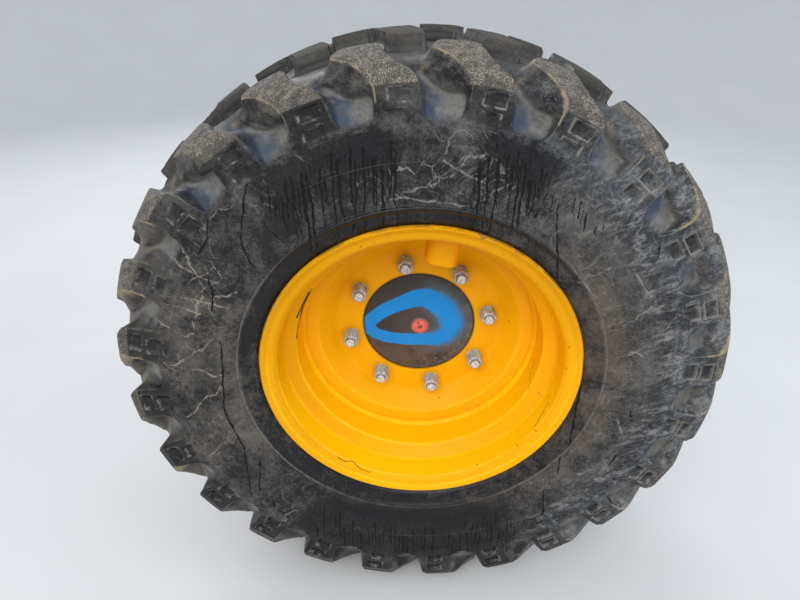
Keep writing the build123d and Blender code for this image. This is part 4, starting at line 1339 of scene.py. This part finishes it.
def mat_cover():
    s = Shade("cover_paint")
    rad, ang, off = s.polar()
    x, y, z = s.xyz()
    patch = s.noise(18, 4, 0.6, seed=1)
    color = s.mix(patch, (0.034, 0.031, 0.029), (0.062, 0.054, 0.048))
    # brown dust on the lower part, grey on the right
    brown = s.mul(s.step(z, 0.000, -0.060), s.step(s.noise(30, 4, 0.6, seed=2), 0.25, 0.60))
    color = s.mix(s.mul(brown, 0.85), color, (0.125, 0.090, 0.066))
    grey = s.mul(s.step(x, 0.045, 0.100), s.step(s.noise(34, 5, 0.65, seed=3), 0.30, 0.60))
    color = s.mix(s.mul(grey, 0.75), color, (0.130, 0.130, 0.132))
    inner = s.mul(s.step(rad, 0.062, 0.030), 0.7)
    color = s.mix(inner, color, (0.078, 0.060, 0.050))
    # scuffs along the lower right edge
    scuff_at = s.vec(s.mul(s.math("COSINE", ang), 9), s.mul(s.math("SINE", ang), 9), s.mul(rad, 160))
    scuff = s.noise(1.0, 5, 0.7, vector=s.warped(0.6, 1.5, 3, vector=scuff_at, seed=4), seed=5)
    zone = s.mul(s.step(s.sub(x, z), 0.055, 0.120), s.step(rad, 0.060, 0.085))
    scuff = s.mul(s.step(scuff, 0.55, 0.63), zone)
    color = s.mix(s.mul(scuff, 0.75), color, (0.235, 0.210, 0.180))
    # blue paint sprayed on by hand: crisp at the left, misty to the right
    wob = s.warped(0.005, 40, 3, seed=6)
    wx, wy, wz = s.xyz(wob)
    d = s.line([(px, 0, pz) for px, pz in SPRAY], vector=s.vec(wx, 0.0, wz))
    wide = s.mul(s.step(x, -0.070, 0.040), s.step(z, -0.030, 0.005))
    d = s.sub(d, s.math("MULTIPLY_ADD", wide, 0.0060, 0.0128))
    mist = s.noise(620, 2, 0.6, seed=7)
    soft = s.math("MULTIPLY_ADD", s.step(x, -0.010, 0.080), 0.0125, 0.0022)
    q = s.math("DIVIDE", d, soft)
    q = s.add(q, s.mul(s.sub(mist, 0.5), 1.7))
    blue = s.step(q, 0.95, -0.35)
    haze = s.mul(s.step(s.add(d, s.mul(s.sub(mist, 0.5), 0.030)), 0.030, 0.004),
                 s.step(x, -0.030, 0.060), 0.62)
    color = s.mix(haze, color, (0.105, 0.150, 0.185))
    tone = s.mix(s.noise(25, 3, 0.5, seed=8), (0.008, 0.225, 0.640), (0.012, 0.300, 0.830))
    color = s.mix(blue, color, tone)
    # red overspray round the plug
    px = s.sub(x, 0.002)
    pr = s.math("SQRT", s.add(s.mul(px, px), s.mul(z, z)))
    red = s.mul(s.step(s.add(pr, s.mul(s.sub(mist, 0.5), 0.008)), 0.0195, 0.0145), 0.75)
    color = s.mix(red, color, (0.60, 0.20, 0.17))
    # painted shade: a dark ring along the cover's edge, at its gap to the disc
    edge = s.step(rad, 0.1060, 0.1090)
    color = s.mix(s.mul(edge, 0.75), color, (0.020, 0.015, 0.012))
    rough = s.lerp(patch, 0.34, 0.50)
    rough = s.lerp(s.most(s.mul(blue, 0.5), s.mul(brown, 0.7), scuff), rough, 0.62)
    height = s.add(s.mul(s.noise(260, 3, 0.6, seed=9), 0.6), s.mul(s.noise(40, 3, 0.5, seed=10), 1.0))
    height = s.add(height, s.mul(blue, 0.5))
    n = s.bump(height, 0.40, 0.0007)
    return s.done(color, rough, n, Specular_IOR_Level=0.25)


def mat_plug():
    s = Shade("red_plug")
    x, y, z = s.xyz()
    px = s.sub(x, 0.002)
    pr = s.math("SQRT", s.add(s.mul(px, px), s.mul(z, z)))
    worn = s.noise(260, 4, 0.65, seed=1)
    color = s.mix(s.noise(120, 3, 0.6, seed=2), (0.80, 0.085, 0.060), (0.90, 0.150, 0.115))
    scuff = s.mul(s.step(worn, 0.50, 0.62), s.step(pr, 0.010, 0.006))
    color = s.mix(s.mul(scuff, 0.8), color, (0.50, 0.34, 0.33))
    socket = s.mul(s.step(y, -0.3610, -0.3590), 0.75)
    color = s.mix(socket, color, s.mix(s.step(worn, 0.45, 0.55), (0.30, 0.080, 0.070),
                                       (0.48, 0.330, 0.320)))
    sx, sz = s.add(x, 0.0012), s.sub(z, 0.0092)
    spot = s.math("SQRT", s.add(s.mul(sx, sx), s.mul(sz, sz)))
    color = s.mix(s.step(spot, 0.0024, 0.0014), color, (0.020, 0.010, 0.010))
    rim = s.mul(s.step(pr, 0.0110, 0.0128), s.step(worn, 0.40, 0.55))
    color = s.mix(s.mul(rim, 0.5), color, (0.85, 0.36, 0.32))
    n = s.bump(worn, 0.35, 0.0006)
    return s.done(color, s.lerp(worn, 0.30, 0.55), n)


def mat_zinc(name, tips=None):
    """Zinc plated steel with brown grime; the studs' tips are rubbed bright."""
    s = Shade(name)
    x, y, z = s.xyz()
    spangle = s.noise(190, 4, 0.65, seed=1)
    color = s.mix(s.step(spangle, 0.35, 0.65), (0.33, 0.340, 0.360), (0.66, 0.680, 0.710))
    if name == "zinc_nuts":
        # the plating's bluish passivation stays on the flats
        side = s.step(y, -0.3760, -0.3720)
        color = s.mix(side, color, s.mix(s.step(spangle, 0.35, 0.65), (0.26, 0.345, 0.460),
                                         (0.50, 0.640, 0.800)))
    grime = s.noise(75, 5, 0.68, seed=2)
    brown = s.step(s.add(grime, s.mul(s.step(z, -0.05, 0.16), 0.10)), 0.52, 0.70)
    color = s.mix(s.mul(brown, 0.50), color, (0.120, 0.110, 0.105))
    fleck = s.step(s.noise(420, 3, 0.7, seed=3), 0.58, 0.66)
    color = s.mix(s.mul(fleck, 0.55), color, (0.66, 0.63, 0.59))
    metal = s.lerp(brown, 0.12, 0.05)
    rough = s.lerp(brown, 0.42, 0.72)
    if tips is not None:
        tip = s.mul(s.step(y, tips + 0.0020, tips + 0.0004), s.step(grime, 0.70, 0.50))
        color = s.mix(tip, color, s.mix(s.step(spangle, 0.40, 0.60), (0.46, 0.455, 0.445),
                                         (0.82, 0.815, 0.80)))
        rough = s.lerp(tip, rough, 0.40)
        neck = s.step(y, tips + 0.0012, tips + 0.0030)
        color = s.mix(s.mul(neck, 0.50), color, (0.075, 0.070, 0.066))
    n = s.bump(s.add(s.mul(spangle, 0.5), grime), 0.45, 0.0006)
    return s.done(color, rough, n, metallic=metal)


def mat_steel():
    s = Shade("machined_steel")
    rad, ang, off = s.polar()
    x, y, z = s.xyz()
    turning = s.noise(1.0, 2, 0.5, vector=s.vec(s.mul(rad, 900), s.mul(y, 1400), 0.0), seed=1)
    oil = s.noise(14, 5, 0.6, seed=2)
    color = s.mix(turning, (0.40, 0.39, 0.375), (0.56, 0.55, 0.535))
    stain = s.step(oil, 0.48, 0.66)
    color = s.mix(s.mul(stain, 0.65), color, (0.13, 0.095, 0.060))
    rust = s.mul(s.step(s.noise(55, 5, 0.7, seed=3), 0.62, 0.70), 0.6)
    color = s.mix(rust, color, (0.20, 0.075, 0.028))
    rough = s.lerp(s.most(s.mul(stain, 0.6), rust), s.lerp(turning, 0.26, 0.40), 0.68)
    n = s.bump(s.add(turning, s.mul(oil, 0.4)), 0.22, 0.0004)
    return s.done(color, rough, n, metallic=s.lerp(s.most(rust, s.mul(stain, 0.5)), 0.95, 0.25))


def mat_axle():
    s = Shade("axle_paint")
    rad, ang, off = s.polar()
    x, y, z = s.xyz()
    sand = s.noise(330, 4, 0.65, seed=1)
    cast = s.noise(60, 5, 0.6, seed=2)
    color = s.mix(s.noise(12, 4, 0.6, seed=3), (0.016, 0.015, 0.015), (0.036, 0.033, 0.031))
    dust = s.noise(20, 5, 0.65, seed=4)
    up = s.xyz(s.new("ShaderNodeTexCoord").outputs["Normal"])[2]
    settle = s.mul(s.step(up, 0.05, 0.75), 0.38)
    dusty = s.step(s.add(dust, settle), 0.52, 0.80)
    color = s.mix(s.mul(dusty, 0.80), color, (0.150, 0.112, 0.078))
    oily = s.mul(s.step(s.noise(9, 3, 0.6, seed=5), 0.54, 0.62), s.step(up, 0.1, -0.4))
    color = s.mix(s.mul(oily, 0.8), color, (0.008, 0.007, 0.006))
    chip = s.step(s.noise(85, 5, 0.72, seed=6), 0.665, 0.685)
    color = s.mix(chip, color, (0.17, 0.085, 0.048))
    # the flange's face is bare: turned, oily and rusting
    bare = s.step(y, -0.0012, -0.0002)
    rings = s.noise(1.0, 2, 0.6, vector=s.vec(s.mul(rad, 620), s.mul(y, 300), 0.0), seed=11)
    faced = s.mix(s.step(rings, 0.30, 0.70), (0.185, 0.180, 0.172), (0.430, 0.420, 0.405))
    oiled = s.step(s.add(s.mul(cast, 0.5), s.mul(dust, 0.6)), 0.50, 0.68)
    faced = s.mix(s.mul(oiled, 0.72), faced, (0.085, 0.062, 0.042))
    rusty = s.step(s.noise(48, 5, 0.7, seed=12), 0.56, 0.68)
    faced = s.mix(s.mul(rusty, 0.65), faced, (0.190, 0.075, 0.030))
    color = s.mix(s.mul(bare, 0.96), color, faced)
    rough = s.lerp(dusty, 0.42, 0.85)
    rough = s.lerp(oily, rough, 0.20)
    height = s.add(s.mul(sand, 0.7), s.mul(cast, 1.6))
    height = s.sub(height, s.mul(chip, 0.8))
    height = s.add(s.mul(height, s.lerp(bare, 1.0, 0.25)), s.mul(rings, bare, 0.5))
    rough = s.lerp(bare, rough, s.lerp(s.most(oiled, rusty), 0.34, 0.70))
    n = s.bump(height, 0.60, 0.0010)
    return s.done(color, rough, n, metallic=s.mul(bare, s.lerp(rusty, 0.7, 0.2)),
                  Specular_IOR_Level=0.45)


def mat_cast():
    s = Shade("cast_iron")
    sand = s.noise(300, 5, 0.65, seed=1)
    color = s.mix(s.noise(18, 4, 0.6, seed=2), (0.045, 0.043, 0.041), (0.095, 0.090, 0.085))
    color = s.mix(s.mul(s.step(s.noise(30, 5, 0.7, seed=3), 0.55, 0.7), 0.6), color, (0.14, 0.065, 0.035))
    n = s.bump(s.add(sand, s.noise(70, 4, 0.6, seed=4)), 0.6, 0.0010)
    return s.done(color, s.lerp(sand, 0.5, 0.75), n, metallic=0.35)


def mat_rubber():
    s = Shade("black_rubber")
    rad, ang, off = s.polar()
    grain = s.noise(420, 3, 0.6, seed=1)
    dust = s.step(s.noise(28, 5, 0.65, seed=2), 0.50, 0.72)
    color = s.mix(grain, (0.010, 0.010, 0.010), (0.020, 0.020, 0.021))
    color = s.mix(s.mul(dust, 0.6), color, (0.105, 0.085, 0.062))
    lips = s.math("SINE", s.mul(rad, 1400))
    n = s.bump(s.add(s.mul(grain, 0.4), s.mul(lips, 0.5)), 0.5, 0.0007)
    return s.done(color, s.lerp(dust, 0.40, 0.8), n)


def mat_brass():
    s = Shade("valve_brass")
    tarn = s.noise(130, 5, 0.65, seed=1)
    color = s.mix(tarn, (0.33, 0.21, 0.085), (0.56, 0.40, 0.17))
    color = s.mix(s.mul(s.step(s.noise(60, 4, 0.7, seed=2), 0.52, 0.66), 0.7), color, (0.09, 0.06, 0.035))
    n = s.bump(tarn, 0.3, 0.0005)
    return s.done(color, s.lerp(tarn, 0.32, 0.6), n, metallic=0.8)


def mat_plastic():
    s = Shade("black_plastic")
    rub = s.noise(300, 4, 0.6, seed=1)
    dust = s.step(s.noise(90, 4, 0.65, seed=2), 0.48, 0.70)
    color = s.mix(rub, (0.011, 0.011, 0.012), (0.024, 0.024, 0.026))
    color = s.mix(s.mul(dust, 0.55), color, (0.17, 0.10, 0.035))
    n = s.bump(rub, 0.4, 0.0005)
    return s.done(color, s.lerp(dust, 0.38, 0.75), n)


TYRE = mat_tyre("tyre_sidewall", False)
TREAD = mat_tyre("tyre_tread", True)
RIM = mat_rim()
AXLE = mat_axle()
COVER = mat_cover()
STEEL = mat_steel()
ZINC = mat_zinc("zinc_steel")
STUD_ZINC = mat_zinc("zinc_studs", tips=-0.385)
NUT_ZINC = mat_zinc("zinc_nuts")
RED = mat_plug()
RUBBER = mat_rubber()
CAST = mat_cast()
BRASS = mat_brass()
PLASTIC = mat_plastic()

FINISH = {
    "axle_arm": AXLE, "spindle": STEEL, "spindle_bolts": ZINC,
    "half_shaft": STEEL, "tyre": TYRE, "rim_barrel": RIM, "wheel_disc": RIM,
    "disc_welds": RIM, "valve_guard": RIM, "valve_stem": BRASS,
    "valve_cap": PLASTIC, "hub": AXLE, "hub_seal": RUBBER,
    "final_drive": CAST, "hub_cover": COVER, "hub_plug": RED,
    "wheel_studs": STUD_ZINC, "wheel_nuts": NUT_ZINC,
}
for node, mat in FINISH.items():
    obj = frame["nodes"][node]
    if not obj.material_slots:
        obj.data.materials.append(mat)
    for slot in obj.material_slots:
        slot.material = mat

outboard, outboard_index = make_tyre("tyre_outboard", 11, False)
inboard, inboard_index = make_tyre("tyre_inboard", 12, True)
wear(outboard, TYRE, "wheel", ("tyre",))
wear(inboard, TYRE, "wheel")
for half, index in ((outboard, outboard_index), (inboard, inboard_index)):
    half.data.materials.append(TREAD)
    half.data.polygons.foreach_set("material_index", index)
wear(nuts, NUT_ZINC, "wheel", ("wheel_nuts",))
wear(studs, STUD_ZINC, "wheel", ("wheel_studs",))
wear(weld_out, RIM, "wheel", ("disc_welds",))
wear(weld_in, RIM, "wheel")
wear(shaft, STEEL, "drive_shaft", ("half_shaft",))

# ============================================================ floor, light

FLOOR_Z = -0.5351
# a round studio bowl: a flat pale floor that sweeps up into its wall
bowl = [(0.0, 0.02)]
bowl += [(0.0, r) for r in (0.5, 1.0, 2.0, 3.5, 5.0)]
bowl += [(3.0 - 3.0 * math.cos(a), 5.0 + 3.0 * math.sin(a))
         for a in np.linspace(0.06, math.pi / 2, 18)]
bowl += [(4.6, 8.0)]
count = 128
verts, faces = [], []
for h, r in bowl:
    for j in range(count):
        a = j / count * PI2
        verts.append((r * math.cos(a), r * math.sin(a), FLOOR_Z + h))
for q in grid_faces(len(bowl), count):
    faces.append(tuple(q))
faces.append(tuple(reversed(range(count))))
floor = build_mesh("floor", verts, faces)
s = Shade("floor_pale")
floor.data.materials.append(s.done(
    s.mix(s.noise(2.2, 3, 0.5), (0.60, 0.60, 0.60), (0.66, 0.66, 0.66)), 0.85))

world = bpy.data.worlds.new("studio")
bpy.context.scene.world = world
world.use_nodes = True
bg = world.node_tree.nodes["Background"]
bg.inputs[0].default_value = (0.86, 0.92, 1.0, 1.0)
bg.inputs[1].default_value = 0.95


def soft_light(name, where, aim, size, power, color=(1, 1, 1)):
    data = bpy.data.lights.new(name, "AREA")
    data.shape = "RECTANGLE"
    data.size, data.size_y = size
    data.energy = power
    data.color = color
    obj = bpy.data.objects.new(name, data)
    bpy.context.collection.objects.link(obj)
    obj.location = where
    obj.rotation_euler = (Vector(aim) - Vector(where)).to_track_quat("-Z", "Y").to_euler()
    return obj


soft_light("key", (-0.8, -3.6, 3.0), (0, -0.35, 0.0), (4.0, 2.6), 120, (1.0, 0.98, 0.94))
soft_light("side", (3.6, -1.6, 1.6), (0, -0.35, 0.0), (2.4, 2.4), 45, (0.86, 0.93, 1.0))
soft_light("back", (-1.5, 3.0, 2.6), (0, -0.2, 0.2), (2.6, 2.0), 60, (0.95, 0.97, 1.0))

cam_data = bpy.data.cameras.new("camera")
cam_data.sensor_width = 36.0
cam_data.lens = 24.975
cam = bpy.data.objects.new("camera", cam_data)
bpy.context.collection.objects.link(cam)
pitch, yaw = math.radians(29.07), math.radians(-0.69)
look = Vector((math.sin(yaw) * math.cos(pitch), math.cos(yaw) * math.cos(pitch),
               -math.sin(pitch)))
right = Vector((math.cos(yaw), -math.sin(yaw), 0.0))
up = right.cross(look)
cam.matrix_world = Matrix((
    (right.x, up.x, -look.x, -0.0259),
    (right.y, up.y, -look.y, (-945.2 + WHEEL_Y) * MM),
    (right.z, up.z, -look.z, 0.5782),
    (0, 0, 0, 1)))
bpy.context.scene.camera = cam
bpy.context.scene.view_settings.view_transform = "Standard"
